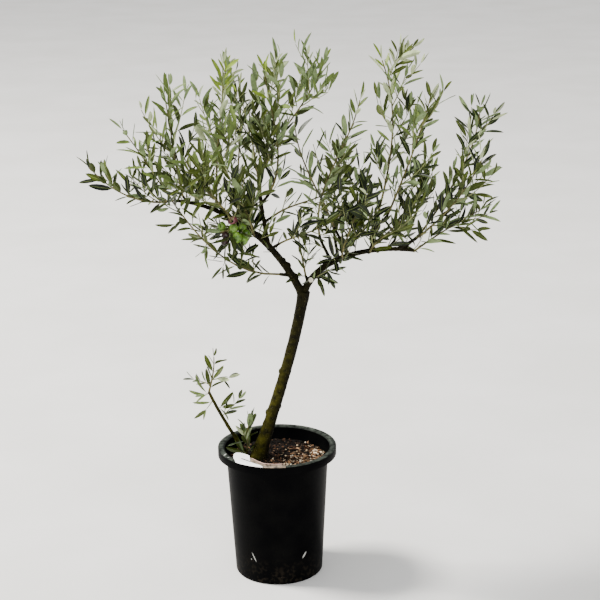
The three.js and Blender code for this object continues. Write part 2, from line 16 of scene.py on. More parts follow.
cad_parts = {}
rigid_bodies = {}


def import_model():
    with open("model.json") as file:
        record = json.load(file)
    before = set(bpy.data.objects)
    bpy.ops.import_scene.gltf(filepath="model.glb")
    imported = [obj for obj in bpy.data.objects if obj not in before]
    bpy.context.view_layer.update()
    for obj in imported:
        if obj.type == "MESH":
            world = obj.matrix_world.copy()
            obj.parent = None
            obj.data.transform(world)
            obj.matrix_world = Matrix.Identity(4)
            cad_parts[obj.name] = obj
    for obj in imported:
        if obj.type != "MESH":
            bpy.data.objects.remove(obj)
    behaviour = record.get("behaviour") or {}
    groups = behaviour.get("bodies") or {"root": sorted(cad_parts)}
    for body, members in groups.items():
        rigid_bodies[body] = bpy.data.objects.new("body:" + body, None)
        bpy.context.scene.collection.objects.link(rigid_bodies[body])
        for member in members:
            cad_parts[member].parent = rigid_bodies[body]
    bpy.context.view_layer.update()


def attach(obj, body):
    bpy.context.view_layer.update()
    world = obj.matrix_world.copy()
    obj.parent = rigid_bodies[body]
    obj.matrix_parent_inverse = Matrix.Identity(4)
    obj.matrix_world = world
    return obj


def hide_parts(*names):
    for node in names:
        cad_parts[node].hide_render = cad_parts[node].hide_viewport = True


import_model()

MM = 0.001

# %% [markdown]
# ## The camera
# The tree is looked down on a little, from about one and a half metres up and three metres off, with a long
# lens, so that the pot's sides stay straight. The view is turned and rolled by less than a degree, as a
# camera held by hand is.

# %% Place the camera
CAMERA = {"distance": 3.2, "height": 1.545, "looks_down": 16.9, "turned": -0.908, "rolled": 0.87, "lens": 102,
          "sees": 200}

bpy.ops.object.camera_add()
camera = bpy.context.object
camera.data.lens = CAMERA["lens"]
camera.data.clip_end = CAMERA["sees"]
camera.matrix_world = (
    Matrix.Translation((0, -CAMERA["distance"], CAMERA["height"]))
    @ Matrix.Rotation(math.radians(CAMERA["turned"]), 4, "Z")
    @ Matrix.Rotation(math.radians(90 - CAMERA["looks_down"]), 4, "X")
    @ Matrix.Rotation(math.radians(-CAMERA["rolled"]), 4, "Z")
)
bpy.context.scene.camera = camera
print("camera at", [round(part, 3) for part in camera.location])

# %% [markdown]
# ## Small helpers
# Operators act on whatever is selected, so each step first selects only what it works on. Modifiers are
# applied at once, so that the finished mesh holds the real shape. What is made of very many like things,
# such as leaves, is worked out as one array of points and becomes one joined mesh.

# %% Helpers for meshes
def select_only(*objects):
    if bpy.context.object and bpy.context.object.mode != "OBJECT":
        bpy.ops.object.mode_set(mode="OBJECT")
    bpy.ops.object.select_all(action="DESELECT")
    for each in objects:
        each.select_set(True)
    bpy.context.view_layer.objects.active = objects[-1]


def just_made(name):
    """Names what the last operator added."""
    piece = bpy.context.object
    piece.name = name
    return piece


def edit(piece, pick="SELECT"):
    select_only(piece)
    bpy.ops.object.mode_set(mode="EDIT")
    bpy.ops.mesh.select_all(action=pick)


def leave_edit():
    bpy.ops.object.mode_set(mode="OBJECT")


def face_outwards(piece):
    edit(piece)
    bpy.ops.mesh.normals_make_consistent(inside=False)
    leave_edit()


def with_modifier(piece, kind, **settings):
    select_only(piece)
    modifier = piece.modifiers.new(kind.lower(), kind)
    for name, value in settings.items():
        setattr(modifier, name, value)
    bpy.ops.object.modifier_apply(modifier=modifier.name)


def cut_away(piece, tool):
    with_modifier(piece, "BOOLEAN", operation="DIFFERENCE", object=tool)
    bpy.data.objects.remove(tool)


def joined(pieces, name):
    select_only(*pieces)
    if len(pieces) > 1:
        bpy.ops.object.join()
    return just_made(name)


def link(name, data):
    piece = bpy.data.objects.new(name, data)
    bpy.context.scene.collection.objects.link(piece)
    return piece


def mesh_piece(name, points, faces):
    mesh = bpy.data.meshes.new(name)
    mesh.from_pydata((np.asarray(points) * MM).tolist(), [], faces)
    return link(name, mesh)


def merged(bodies):
    """The points and faces of several bodies, counted on from one to the next."""
    points, faces = [], []
    for own_points, own_faces in bodies:
        faces += [tuple(k + len(points) for k in face) for face in own_faces]
        points.extend(own_points)
    return points, faces


def copied(faces, size, count):
    """The faces of one body of size points, for each of its copies."""
    return [tuple(k + n * size for k in face) for n in range(count) for face in faces]


def points_of(piece):
    points = np.empty(len(piece.data.vertices) * 3)
    piece.data.vertices.foreach_get("co", points)
    return points.reshape(-1, 3) / MM


def move_points(piece, points):
    piece.data.vertices.foreach_set("co", (np.asarray(points) * MM).ravel())
    piece.data.update()


def smooth(piece, angle):
    select_only(piece)
    bpy.ops.object.shade_smooth_by_angle(angle=math.radians(angle))


def paint(piece, *materials, of_face=None):
    """Gives a piece its materials and, where there are several, each face the number of its own."""
    piece.data.materials.clear()
    for material in materials:
        piece.data.materials.append(material)
    if of_face is not None:
        piece.data.polygons.foreach_set("material_index", of_face)


def dress(piece, slot, *nodes):
    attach(piece, "root")
    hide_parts(*nodes)
    piece.data.calc_loop_triangles()
    print(piece.name, len(piece.data.loop_triangles), "triangles")


# %% [markdown]
# ## Shader groups
# Three effects come back in many finishes: a tone that wanders between two colours, fine grain in the
# surface, and one mark in a box at a place, which the pot uses for scuffs and for painted highlights. Each is
# a node group with named inputs, built once. The shader itself stays in each material.

# %% Helpers for nodes
NUMBER, TONE, PLACE = "NodeSocketFloat", "NodeSocketColor", "NodeSocketVector"


def fill(tree, node, inputs):
    for name, value in inputs.items():
        if isinstance(value, bpy.types.NodeSocket):
            tree.links.new(value, node.inputs[name])
        else:
            node.inputs[name].default_value = value


def put(tree, kind, inputs=None, **settings):
    node = tree.nodes.new("ShaderNode" + kind)
    for name, value in settings.items():
        setattr(node, name, value)
    fill(tree, node, inputs or {})
    return node.outputs


def two_tones(tree, mask, first, second):
    return put(tree, "Mix", {0: mask, 6: first, 7: second}, data_type="RGBA")[2]


def maths(tree, operation, first, second):
    return put(tree, "Math", {0: first, 1: second}, operation=operation)[0]


def ramp(tree, value, start, end, low=0, high=1):
    """Low at the start and before it, high at the end and past it."""
    spans = {"From Min": start, "From Max": end, "To Min": low, "To Max": high}
    return put(tree, "MapRange", {"Value": value, **spans})[0]


def new_group(name, inputs):
    group = bpy.data.node_groups.new(name, "ShaderNodeTree")
    for label, kind, value in inputs:
        socket = group.interface.new_socket(label, in_out="INPUT", socket_type=kind)
        socket.default_value = value
    return group, group.nodes.new("NodeGroupInput").outputs


def give_out(group, **results):
    for label, (kind, _) in results.items():
        group.interface.new_socket(label, in_out="OUTPUT", socket_type=kind)
    out = group.nodes.new("NodeGroupOutput")
    fill(group, out, {label: value for label, (_, value) in results.items()})


def use(tree, group, **inputs):
    return put(tree, "Group", inputs, node_tree=group)


def colour(red, green, blue):
    """A colour as a screen shows it, from 0 to 255, in Blender's linear values."""
    values = np.array([red, green, blue]) / 255
    linear = np.where(values <= 0.04045, values / 12.92, ((values + 0.055) / 1.055) ** 2.4)
    return (*linear.tolist(), 1)


def shaded(tone, share):
    return [min(255, part * share) for part in tone]


def new_material(name):
    material = bpy.data.materials.new(name)
    material.use_nodes = True
    tree = material.node_tree
    where = put(tree, "TexCoord")["Object"]
    return material, tree, tree.nodes["Principled BSDF"], where


# %% Build the three groups
BUMP = 0.0004


def build_mottle():
    group, given = new_group("mottle", [
        ("Vector", PLACE, (0, 0, 0)), ("Dark", TONE, colour(0, 0, 0)), ("Light", TONE, colour(255, 255, 255)),
        ("Scale", NUMBER, 50), ("Low", NUMBER, 0.35), ("High", NUMBER, 0.65)])
    cloud = put(group, "TexNoise", {"Vector": given["Vector"], "Scale": given["Scale"], "Detail": 4})["Fac"]
    mask = ramp(group, cloud, given["Low"], given["High"])
    tone = two_tones(group, mask, given["Dark"], given["Light"])
    give_out(group, Color=(TONE, tone), Mask=(NUMBER, mask))
    return group


def build_grain():
    group, given = new_group("grain", [
        ("Vector", PLACE, (0, 0, 0)), ("Scale", NUMBER, 800), ("Strength", NUMBER, 0.2),
        ("Low", NUMBER, 0.4), ("High", NUMBER, 0.6)])
    cloud = put(group, "TexNoise", {"Vector": given["Vector"], "Scale": given["Scale"], "Detail": 3})["Fac"]
    rough = ramp(group, cloud, 0, 1, given["Low"], given["High"])
    bump = put(group, "Bump", {"Height": cloud, "Strength": given["Strength"], "Distance": BUMP})["Normal"]
    give_out(group, Roughness=(NUMBER, rough), Normal=(PLACE, bump))
    return group


def build_mark_box():
    group, given = new_group("mark_box", [
        ("Vector", PLACE, (0, 0, 0)), ("Centre", PLACE, (0, 0, 0)), ("Turn", PLACE, (0, 0, 0)),
        ("Half size", PLACE, (0.01, 0.01, 0.001))])
    box = {"Location": given["Centre"], "Rotation": given["Turn"], "Scale": given["Half size"]}
    own = put(group, "Mapping", {"Vector": given["Vector"], **box}, vector_type="TEXTURE")[0]
    away = put(group, "VectorMath", {0: own}, operation="LENGTH")["Value"]
    give_out(group, Mask=(NUMBER, ramp(group, away, 1, 0.6)))
    return group


MOTTLE, GRAIN, MARK_BOX = build_mottle(), build_grain(), build_mark_box()
print("groups:", [group.name for group in bpy.data.node_groups])

# %% [markdown]
# Most finishes are no more than a wandering tone with grain on it, so one function makes all of these. The
# pot, the bark and the olives lay masks of their own between the two.

# %% The plain finish
def mottled(tree, where, dark, light, scale):
    return use(tree, MOTTLE, Vector=where, Dark=colour(*dark), Light=colour(*light), Scale=scale)["Color"]


def finish_with(tree, shader, where, tone, grain, specular=0.5):
    """Ends a material with a tone and with grain: its scale, its strength and its range of roughness."""
    scale, strength, low, high = grain
    skin = use(tree, GRAIN, Vector=where, Scale=scale, Strength=strength, Low=low, High=high)
    fill(tree, shader, {"Base Color": tone, "Roughness": skin["Roughness"], "Normal": skin["Normal"],
                        "Specular IOR Level": specular})


def plain_finish(name, dark, light, scale, grain, specular=0.5):
    material, tree, shader, where = new_material(name)
    finish_with(tree, shader, where, mottled(tree, where, dark, light, scale), grain, specular)
    return material


# %% [markdown]
# ## Floor and light
# The stage is a wide pale floor and soft light: a pale sky all round, a broad lamp high on the left and a
# little behind, as sun through thin cloud, and a weaker one in front that opens the shadows.

# %% Lay the floor and hang the lamps
FLOOR_RADIUS = 60
LAMPS = {
    "key": {"at": (-4.6, 1.0, 6.6), "size": 2.0, "power": 1500, "tint": (1, 0.97, 0.92)},
    "front": {"at": (1.6, -5.0, 3.2), "size": 3.0, "power": 110, "tint": (0.95, 0.98, 1)},
}
CROWN_MIDDLE = Vector((0.05, 0, 0.75))

bpy.ops.mesh.primitive_circle_add(vertices=96, radius=FLOOR_RADIUS, fill_type="NGON")
floor = just_made("floor")
floor_finish, tree, shader, where = new_material("pale_floor")
floor_tone = mottled(tree, where, (226, 225, 222), (233, 232, 230), 3)
fill(tree, shader, {"Base Color": floor_tone, "Roughness": 0.9})
paint(floor, floor_finish)

for name, lamp in LAMPS.items():
    bpy.ops.object.light_add(type="AREA", location=lamp["at"])
    light = just_made(name)
    light.data.size, light.data.energy, light.data.color = lamp["size"], lamp["power"], lamp["tint"]
    light.rotation_euler = (CROWN_MIDDLE - light.location).to_track_quat("-Z", "Y").to_euler()

world = bpy.data.worlds.new("sky")
bpy.context.scene.world = world
world.use_nodes = True
fill(world.node_tree, world.node_tree.nodes["Background"], {"Color": (1, 1, 1, 1), "Strength": 0.95})
print("lamps:", list(LAMPS))

# %% [markdown]
# ## The pot
# A nursery pot is one thin moulding: a wall that leans out, a flare, and a rim that turns over into a hanging
# skirt. It could be spun from a profile. Here a disc is extruded ring by ring up the outside, over the rim
# and down the inside, which closes the shape by itself. Its corners are rounded by a bevel, and drain holes
# are cut through the floor.

# %% Turn the pot
POT = {"height": 268, "rim": 119.5, "mouth": 106, "skirt": 17, "neck": 102.4, "base": 88.5, "foot": 85.5,
       "bevel": 3, "wall": 2.2, "flare_drop": 6, "drains": 6, "drain_radius": 7, "drain_ring": 62}
FLARE_TOP = POT["height"] - POT["flare_drop"]
NECK = FLARE_TOP - POT["skirt"]


def extrude_rings(rings):
    """Draws the selected face through a row of (radius, height) rings."""
    for (radius, height), (next_radius, next_height) in zip(rings, rings[1:]):
        rise = (next_height - height) * MM
        bpy.ops.mesh.extrude_region_move(TRANSFORM_OT_translate={"value": (0, 0, rise)})
        grow = next_radius / radius
        bpy.ops.transform.resize(value=(grow, grow, 1), center_override=(0, 0, 0))


def pot_rings():
    top, wall, mouth, rim = POT["height"], POT["wall"], POT["mouth"], POT["rim"]
    inside = POT["neck"] - wall
    return [
        (POT["foot"], 0), (POT["base"], POT["bevel"]), (POT["neck"], NECK), (mouth + wall, FLARE_TOP),
        (mouth + wall, top - wall), (rim - wall, top - wall), (rim - wall, top - POT["skirt"]),
        (rim, top - POT["skirt"]), (rim, top - 1), (rim - 3, top), (mouth + 3, top - 0.6), (mouth, top - 3),
        (mouth, FLARE_TOP), (inside + 1.5, NECK), (inside, NECK - 3), (POT["base"] - wall, wall),
    ]


def make_drill(number):
    turn = 2 * math.pi * (number + 0.5) / POT["drains"]
    place = (math.cos(turn) * POT["drain_ring"] * MM, math.sin(turn) * POT["drain_ring"] * MM, 0)
    bpy.ops.mesh.primitive_cylinder_add(
        vertices=24, radius=POT["drain_radius"] * MM, depth=20 * MM, location=place)
    return bpy.context.object


bpy.ops.mesh.primitive_circle_add(vertices=112, radius=POT["foot"] * MM, fill_type="NGON")
pot = just_made("turned_pot")
edit(pot)
extrude_rings(pot_rings())
leave_edit()
face_outwards(pot)
cut_away(pot, joined([make_drill(number) for number in range(POT["drains"])], "drill"))
with_modifier(pot, "BEVEL", width=0.7 * MM, segments=2, limit_method="ANGLE", angle_limit=math.radians(28))
smooth(pot, 35)
dress(pot, "pot", "pot")

# %% [markdown]
# ## Black plastic
# Recycled black plastic is never quite black: dust lies on the rim, mud has dried in a faint band near the
# foot, and the rim carries two bright scuffs. Low on the wall, two slanted streaks and a dot are painted
# highlights, glints of light laid into the colour. Each mask comes from the height, the normal or a box, so
# nothing depends on the camera.

# %% Finish the pot
# The long and short streaks and the dot are painted highlights, slanted glints low on the wall; the two on
# the rim are scuffs.
SCUFFS_AND_GLINTS = {
    "long": {"centre": (-50.5, -76, 57), "turn": (0, -24, 0), "half": (1.1, 30, 12)},
    "dot": {"centre": (-56, -73, 51), "turn": (0, 0, 0), "half": (1.2, 30, 1.4)},
    "short": {"centre": (50.5, -78, 60), "turn": (0, 30, 0), "half": (1.9, 30, 8.5)},
    "rim": {"centre": (-104, -46, 268), "turn": (0, 0, 66), "half": (7, 1.6, 4)},
    "rim_chip": {"centre": (-97, -61, 267), "turn": (0, 0, 40), "half": (3, 1.4, 4)},
}

pot_finish, tree, shader, where = new_material("black_plastic")
plastic = mottled(tree, where, (3, 3, 4), (7, 7, 7), 22)
upward = put(tree, "SeparateXYZ", {0: put(tree, "NewGeometry")["Normal"]})["Z"]
patches = use(tree, MOTTLE, Vector=where, Scale=90, Low=0.3, High=0.7)["Mask"]
dust = maths(tree, "MULTIPLY", ramp(tree, upward, 0.5, 1, high=0.75), patches)
dusty = two_tones(tree, dust, plastic, colour(78, 84, 77))
height = put(tree, "SeparateXYZ", {0: where})["Z"]
splashes = use(tree, MOTTLE, Vector=where, Scale=130, Low=0.5, High=0.62)["Mask"]
mud = maths(tree, "MULTIPLY", ramp(tree, height, 0.06, 0, high=0.22), splashes)
marked_plastic = two_tones(tree, mud, dusty, colour(66, 58, 46))
# Pale marks: painted highlights low on the wall, and scuffs on the rim.
for scuff_or_glint in SCUFFS_AND_GLINTS.values():
    box = {"Centre": [part * MM for part in scuff_or_glint["centre"]],
           "Turn": [math.radians(part) for part in scuff_or_glint["turn"]],
           "Half size": [part * MM for part in scuff_or_glint["half"]]}
    mark = use(tree, MARK_BOX, Vector=where, **box)["Mask"]
    marked_plastic = two_tones(tree, mark, marked_plastic, colour(172, 172, 168))
finish_with(tree, shader, where, marked_plastic, (700, 0.12, 0.34, 0.56), specular=0.05)
fill(tree, shader, {"IOR": 1.2})
paint(pot, pot_finish)
print("scuffs_and_glints:", list(SCUFFS_AND_GLINTS))

# %% [markdown]
# ## The potting mix
# Potting mix for trees is bark chips with pale pumice. Its top is an uneven crust a finger below the rim, and
# over it lie loose grains, half sunk. The crust is a grid bent into a disc and lifted by noise. Four grain
# shapes are modelled once, and arrays of places, turns and sizes make the thousands that show.

# %% Lay the crust
SOIL = {"top": 243, "settled": 1.5, "radius": 99.5, "depth": 30, "narrows": 0.97, "grid": 72}
# Lumps of two sizes: how wide they are, how high, and where in the noise they are taken from.
LUMPS = [(16, 2.2, 0), (5, 0.8, 50)]
TRUNK_FOOT = (-42, -5)
MOUND_HEIGHT, MOUND_REACH = 3, 28


def soil_height(x, y):
    lumps = sum(noise.noise(Vector((x, y, layer)) / size) * rise for size, rise, layer in LUMPS)
    mound = MOUND_HEIGHT * math.exp(-math.dist((x, y), TRUNK_FOOT) / MOUND_REACH)
    return SOIL["top"] - SOIL["settled"] + lumps + mound


bpy.ops.mesh.primitive_grid_add(x_subdivisions=SOIL["grid"], y_subdivisions=SOIL["grid"], size=2)
crust = just_made("potting_mix")
edit(crust)
bpy.ops.mesh.extrude_region_move(TRANSFORM_OT_translate={"value": (0, 0, -1)})
leave_edit()
x, y, z = (points_of(crust) * MM).T
is_top = z > -0.5
discs = np.stack([x * np.sqrt(1 - y * y / 2), y * np.sqrt(1 - x * x / 2)], 1) * SOIL["radius"]
heights = [soil_height(*place) if top else SOIL["top"] - SOIL["depth"] for place, top in zip(discs, is_top)]
move_points(crust, np.column_stack([discs * np.where(is_top, 1, SOIL["narrows"])[:, None], heights]))
face_outwards(crust)
smooth(crust, 60)
paint(crust, plain_finish("dark_mix", (4, 3, 2), (16, 10, 7), 240, (900, 0.9, 0.75, 1), specular=0.05))
dress(crust, "soil", "soil")

# %% Model the grains
# Each kind has its tones from painted shade to painted sunlight. The mix is painted pale at the front right,
# in the sun, and dark at the back left, in the rim's shadow.
GRAINS = {
    "pumice": {"count": 300, "size": (1.2, 2.8), "flat": 0.8, "stretch": (1, 1, 1),
               "shades": [(24, 16, 11), (84, 66, 50), (196, 176, 142), (238, 226, 202)]},
    "chip": {"count": 900, "size": (1.6, 3.8), "flat": 0.5, "stretch": (1.6, 0.7, 1),
             "shades": [(10, 7, 5), (32, 21, 13), (76, 52, 34), (140, 104, 72)]},
    "sliver": {"count": 380, "size": (2.0, 4.2), "flat": 0.4, "stretch": (2.2, 0.4, 1),
               "shades": [(16, 10, 7), (60, 38, 24), (152, 116, 84), (222, 198, 168)]},
    "crumb": {"count": 2000, "size": (1.0, 2.2), "flat": 0.7, "stretch": (1, 1, 1),
              "shades": [(5, 4, 3), (14, 10, 7), (30, 21, 14), (66, 48, 34)]},
}
GOLDEN_TURN = math.pi * (3 - math.sqrt(5))
LOOSE = {"spread_within": 3, "kept_within": 2, "strays": 2, "turn_strays": 0.2, "above": (-0.2, 0.45),
         "uneven": (0.72, 1.25), "shade_varies": 0.85}
# Painted light over the mix: its middle value, and how fast it brightens to the right and to the front.
MIX_LIGHT = {"middle": 0.26, "rightwards": 0.75, "backwards": 0.6, "over": 95}


def random_turns(count, draws):
    """Turn matrices spread evenly over all directions."""
    fours = draws.normal(size=(4, count))
    w, x, y, z = fours / np.linalg.norm(fours, axis=0)
    return np.array([
        [1 - 2 * (y * y + z * z), 2 * (x * y - w * z), 2 * (x * z + w * y)],
        [2 * (x * y + w * z), 1 - 2 * (x * x + z * z), 2 * (y * z - w * x)],
        [2 * (x * z - w * y), 2 * (y * z + w * x), 1 - 2 * (x * x + y * y)],
    ]).transpose(2, 0, 1)


def model_grain(plan, draws):
    bpy.ops.mesh.primitive_ico_sphere_add(subdivisions=1, radius=MM)
    grain = bpy.context.object
    form = points_of(grain) * draws.uniform(*LOOSE["uneven"], (len(grain.data.vertices), 1))
    faces = [tuple(face.vertices) for face in grain.data.polygons]
    bpy.data.objects.remove(grain)
    return form * plan["stretch"], faces


def painted_light_on_mix(x, y):
    """Painted light: from 0 in the rim's shadow at the back left to 1 in the sun at the front right."""
    return np.clip(MIX_LIGHT["middle"] + (MIX_LIGHT["rightwards"] * x - MIX_LIGHT["backwards"] * y) / MIX_LIGHT["over"], 0, 1)


# %% Scatter the grains
def scatter(kind, plan, seed):
    """One piece of many grains, spread like the seeds of a sunflower, and the shade of each face."""
    draws = np.random.default_rng(seed)
    form, faces = model_grain(plan, draws)
    i = np.arange(plan["count"]) + 0.5
    count = len(i)
    strays, turn_strays = LOOSE["strays"], LOOSE["turn_strays"]
    radius = (SOIL["radius"] - LOOSE["spread_within"]) * np.sqrt(i / count)
    radius += draws.uniform(-strays, strays, count)
    angle = i * GOLDEN_TURN + draws.uniform(-turn_strays, turn_strays, count) + seed
    x, y = np.clip(radius, 0, SOIL["radius"] - LOOSE["kept_within"]) * (np.cos(angle), np.sin(angle))
    size = draws.uniform(*plan["size"], count)
    height = np.array([soil_height(*place) for place in zip(x, y)])
    height += size * draws.uniform(*LOOSE["above"], count)
    turned = np.einsum("nij,vj->nvi", random_turns(count, draws), form) * size[:, None, None]
    turned[:, :, 2] *= plan["flat"]
    points = turned + np.stack([x, y, height], 1)[:, None]
    piece = mesh_piece(f"{kind}_grains", points.reshape(-1, 3), copied(faces, len(form), count))
    # Painted light: each grain takes a darker or lighter copy of its tones by its place, as shade or sun.
    sunniest = len(plan["shades"]) - 1
    shade = painted_light_on_mix(x, y) * sunniest + draws.normal(0, LOOSE["shade_varies"], count)
    shade = np.clip(np.rint(shade), 0, sunniest)
    return piece, shade.astype(int).repeat(len(faces))


for seed, (kind, plan) in enumerate(GRAINS.items(), start=4):
    grains, shade = scatter(kind, plan, seed)
    finishes = [plain_finish(f"{kind}_{tone[0]}", shaded(tone, 0.72), tone, 160, (1500, 0.5, 0.7, 0.95), 0.1)
                for tone in plan["shades"]]
    paint(grains, *finishes, of_face=shade)
    dress(grains, "soil", "soil")

# %% [markdown]
# ## The plant label
# A blank tag of thin white plastic hooks over the front of the rim. Its rounded head stands up a little and
# has a slit, through which its narrow tail was pushed. The tail comes out on the right, soiled by the mix,
# and lies along the rim. Each layer is a grid, moved to its outline row by row and then given its thickness.
# An outline says, from left to right, how far in from the rim's outer edge the layer starts and ends.

# %% Lay the label
TAG = {"thick": 0.6, "columns": 72, "rows": 14, "edge": 120.2, "ripple": 0.35, "wave": 7,
       "bend": 3.5, "bends_in": 0.1, "bends_down": 0.22}
SEAT = POT["height"] + 0.5
# Along X: how steeply the tag rises inwards from the rim, in degrees.
TAG_SLOPES = ([-87, -54, -36, 16], [9, 10, 6, 4])
LAYERS = {
    "plant_tag": {
        "lift": 2.0, "tone": (254, 254, 253), "soiled": 0.97,
        "starts": ([-87, -85.5, -82, -29], [11, 5, 0, 0]),
        "ends": ([-87, -86.4, -84.5, -80, -73, -64, -57, -54.5, -53.6, -46, -38, -29],
                 [13, 20, 26, 31.5, 34.5, 35, 33, 30.5, 10, 6.8, 3.8, 0.8]),
    },
    "plant_tag_tail": {
        "lift": 0.4, "tone": (150, 132, 112), "soiled": 0.4,
        "starts": ([-57, 16], [0.6, 0.6]),
        "ends": ([-57, -52, -46, -40, -32, -20, 12, 16], [29, 28, 23, 17, 11, 8, 7, 5]),
    },
    "plant_tag_rib": {
        "lift": 1.9, "tone": (206, 172, 158), "soiled": 0.4,
        "starts": ([-50, -38, -28, 10], [24, 14.5, 8.6, 8]),
        "ends": ([-50, -38, -28, 10], [26, 17.5, 12, 10.5]),
    },
}
SLIT = {"from": (-71, 15), "to": (-53, 10.5), "width": 3, "height": 14}


def tag_place(x, inward, lift):
    """A place on the tag: how far along X, how far in from the rim's edge and how high above its seat."""
    over = max(0, TAG["bend"] - inward)
    front = -math.sqrt(TAG["edge"] ** 2 - x ** 2)
    slope = math.tan(math.radians(np.interp(x, *TAG_SLOPES)))
    y = front + inward - over * TAG["bends_in"]
    return x, y, SEAT + lift + inward * slope - TAG["bends_down"] * over ** 2


def lay_tag(name, layer):
    bpy.ops.mesh.primitive_grid_add(x_subdivisions=TAG["columns"], y_subdivisions=TAG["rows"], size=1)
    tag = just_made(name)
    left, right = layer["ends"][0][0], layer["ends"][0][-1]
    laid = []
    for along, across, _ in points_of(tag) * MM + 0.5:
        x = left + (right - left) * along
        start, end = np.interp(x, *layer["starts"]), np.interp(x, *layer["ends"])
        ripple = TAG["ripple"] * math.sin(x / TAG["wave"]) * across
        laid.append(tag_place(x, start + (end - start) * across, layer["lift"] + ripple))
    move_points(tag, laid)
    with_modifier(tag, "SOLIDIFY", thickness=TAG["thick"] * MM, offset=1)
    face_outwards(tag)
    smooth(tag, 50)
    return tag


# %% Cut the slit and finish the label
def make_slit():
    bpy.ops.mesh.primitive_cube_add(size=MM)
    slit = bpy.context.object
    first, last = (Vector(tag_place(*SLIT[end], LAYERS["plant_tag"]["lift"])) for end in ("from", "to"))
    turn = math.atan2(last.y - first.y, last.x - first.x)
    slit.matrix_world = (
        Matrix.Translation((first + last) / 2 * MM) @ Matrix.Rotation(turn, 4, "Z")
        @ Matrix.Diagonal(((last - first).length, SLIT["width"], SLIT["height"], 1))
    )
    return slit


tags = {name: lay_tag(name, layer) for name, layer in LAYERS.items()}
cut_away(tags["plant_tag"], make_slit())
for name, tag in tags.items():
    tone = LAYERS[name]["tone"]
    soiled = shaded(tone, LAYERS[name]["soiled"])
    paint(tag, plain_finish(name + "_plastic", soiled, tone, 170, (1200, 0.08, 0.4, 0.6)))
    dress(tag, "label", "plant_label")

# %% [markdown]
# ## The plan of the tree
# Every limb springs from its parent at a share of the parent's length, or from a foot in the soil. Its tip
# lies at a heading, reach and rise from its base; then come the slopes it leaves and arrives at, and its
# radii. A mass of foliage grows on from a limb's tip in the same terms: where its stem's tip lies, the slope
# there, how many shoots it bears, their length, and the seed of their growth. These are the sizes, in
# millimetres and degrees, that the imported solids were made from.

# %% Limbs
def limb(parent, at, tip, slopes, radii=(2.8, 2.2)):
    return {"parent": parent, "at": at, "tip": tip, "slopes": slopes, "radii": radii}


def rooted(foot, tip, slopes, radii):
    return {**limb(None, 0, tip, slopes, radii), "foot": foot}


LIMBS = {
    "trunk": rooted((-42, -5), (3, 101.1, 358), (72, 80), (17, 11.6)),
    "left_bough": limb("trunk", 0.97, (189, 247, 208), (68, 8), (7.6, 2.6)),
    "right_bough": limb("trunk", 0.97, (-5, 217, 95), (78, -8), (6.8, 3.2)),
    "low_left_branch": limb("left_bough", 0.15, (205, 26, 5), (0, 10), (3.2, 2.6)),
    "left_riser": limb("left_bough", 0.38, (120, 24, 93), (80, 85), (4, 3.2)),
    "left_inner_spur": limb("left_bough", 0.75, (80, 8, 24), (85, 88), (2.8, 2.4)),
    "left_outer_spur": limb("left_bough", 0.92, (240, 18, 18), (50, 70), (2.4, 2)),
    "left_front_spur": limb("left_bough", 0.63, (262, 44, 10), (20, 40)),
    "left_back_spur": limb("left_bough", 0.56, (104, 36, 24), (50, 65), (3, 2.4)),
    "left_heart_spur": limb("left_bough", 0.46, (258, 34, 12), (20, 55)),
    "left_middle_spur": limb("left_riser", 0.45, (100, 30, 30), (50, 65)),
    "left_peak_spur": limb("left_riser", 0.85, (-35, 24, 30), (45, 60), (2.6, 2.2)),
    "inner_low_spur": limb("left_bough", 0.35, (-40, 22, 14), (30, 30)),
    "inner_spur": limb("left_riser", 0.45, (22, 20, 12), (40, 30), (2.4, 2)),
    "fruit_spur": limb("left_bough", 0.52, (235, 22, 8), (20, 0), (2.6, 2)),
    "fork_spur": limb("right_bough", 0.13, (170, 6, 14), (70, 80), (2.6, 2.2)),
    "pruned_stub": limb("right_bough", 0.17, (-95, 15, 2), (8, 8), (5, 4.8)),
    "middle_riser": limb("right_bough", 0.38, (200, 24, 60), (75, 80), (3, 2.4)),
    "whip_riser": limb("right_bough", 0.52, (162, 28, 56), (75, 68), (3, 2.4)),
    "right_riser": limb("right_bough", 0.69, (53, 25, 70), (70, 85), (4, 3)),
    "right_fork": limb("right_riser", 0.7, (-55, 36, 30), (35, 60)),
    "right_heart_spur": limb("right_bough", 0.81, (60, 32, 14), (35, 45)),
    "right_inner_spur": limb("right_bough", 0.65, (-78, 32, 8), (20, 45)),
    "right_outer_spur": limb("right_bough", 0.92, (40, 50, 26), (40, 40), (3, 2.4)),
    "right_side_spur": limb("right_bough", 0.88, (-40, 46, 30), (40, 38), (3, 2.4)),
    "right_front_spur": limb("right_bough", 0.48, (-95, 42, 10), (15, 40)),
    "right_back_spur": limb("right_bough", 0.44, (95, 70, 50), (45, 60), (3, 2.4)),
    "sucker": rooted((-56, 20), (182, 78, 143), (57, 66), (3.8, 2.7)),
    "small_sucker": rooted((-62, 9), (300, 4, 30), (84, 78), (1.9, 1.7)),
}
print(len(LIMBS), "limbs")

# %% Masses
def mass(on, tip, arrives, shoots, length, seed, small=False, **own):
    return {"on": on, "tip": tip, "arrives": arrives, "shoots": shoots, "length": length, "seed": seed,
            "small": small, "bare": 0.12, "low": 0.1, "high": 0.86, "spread": 42, "lift": 0.7, **own}


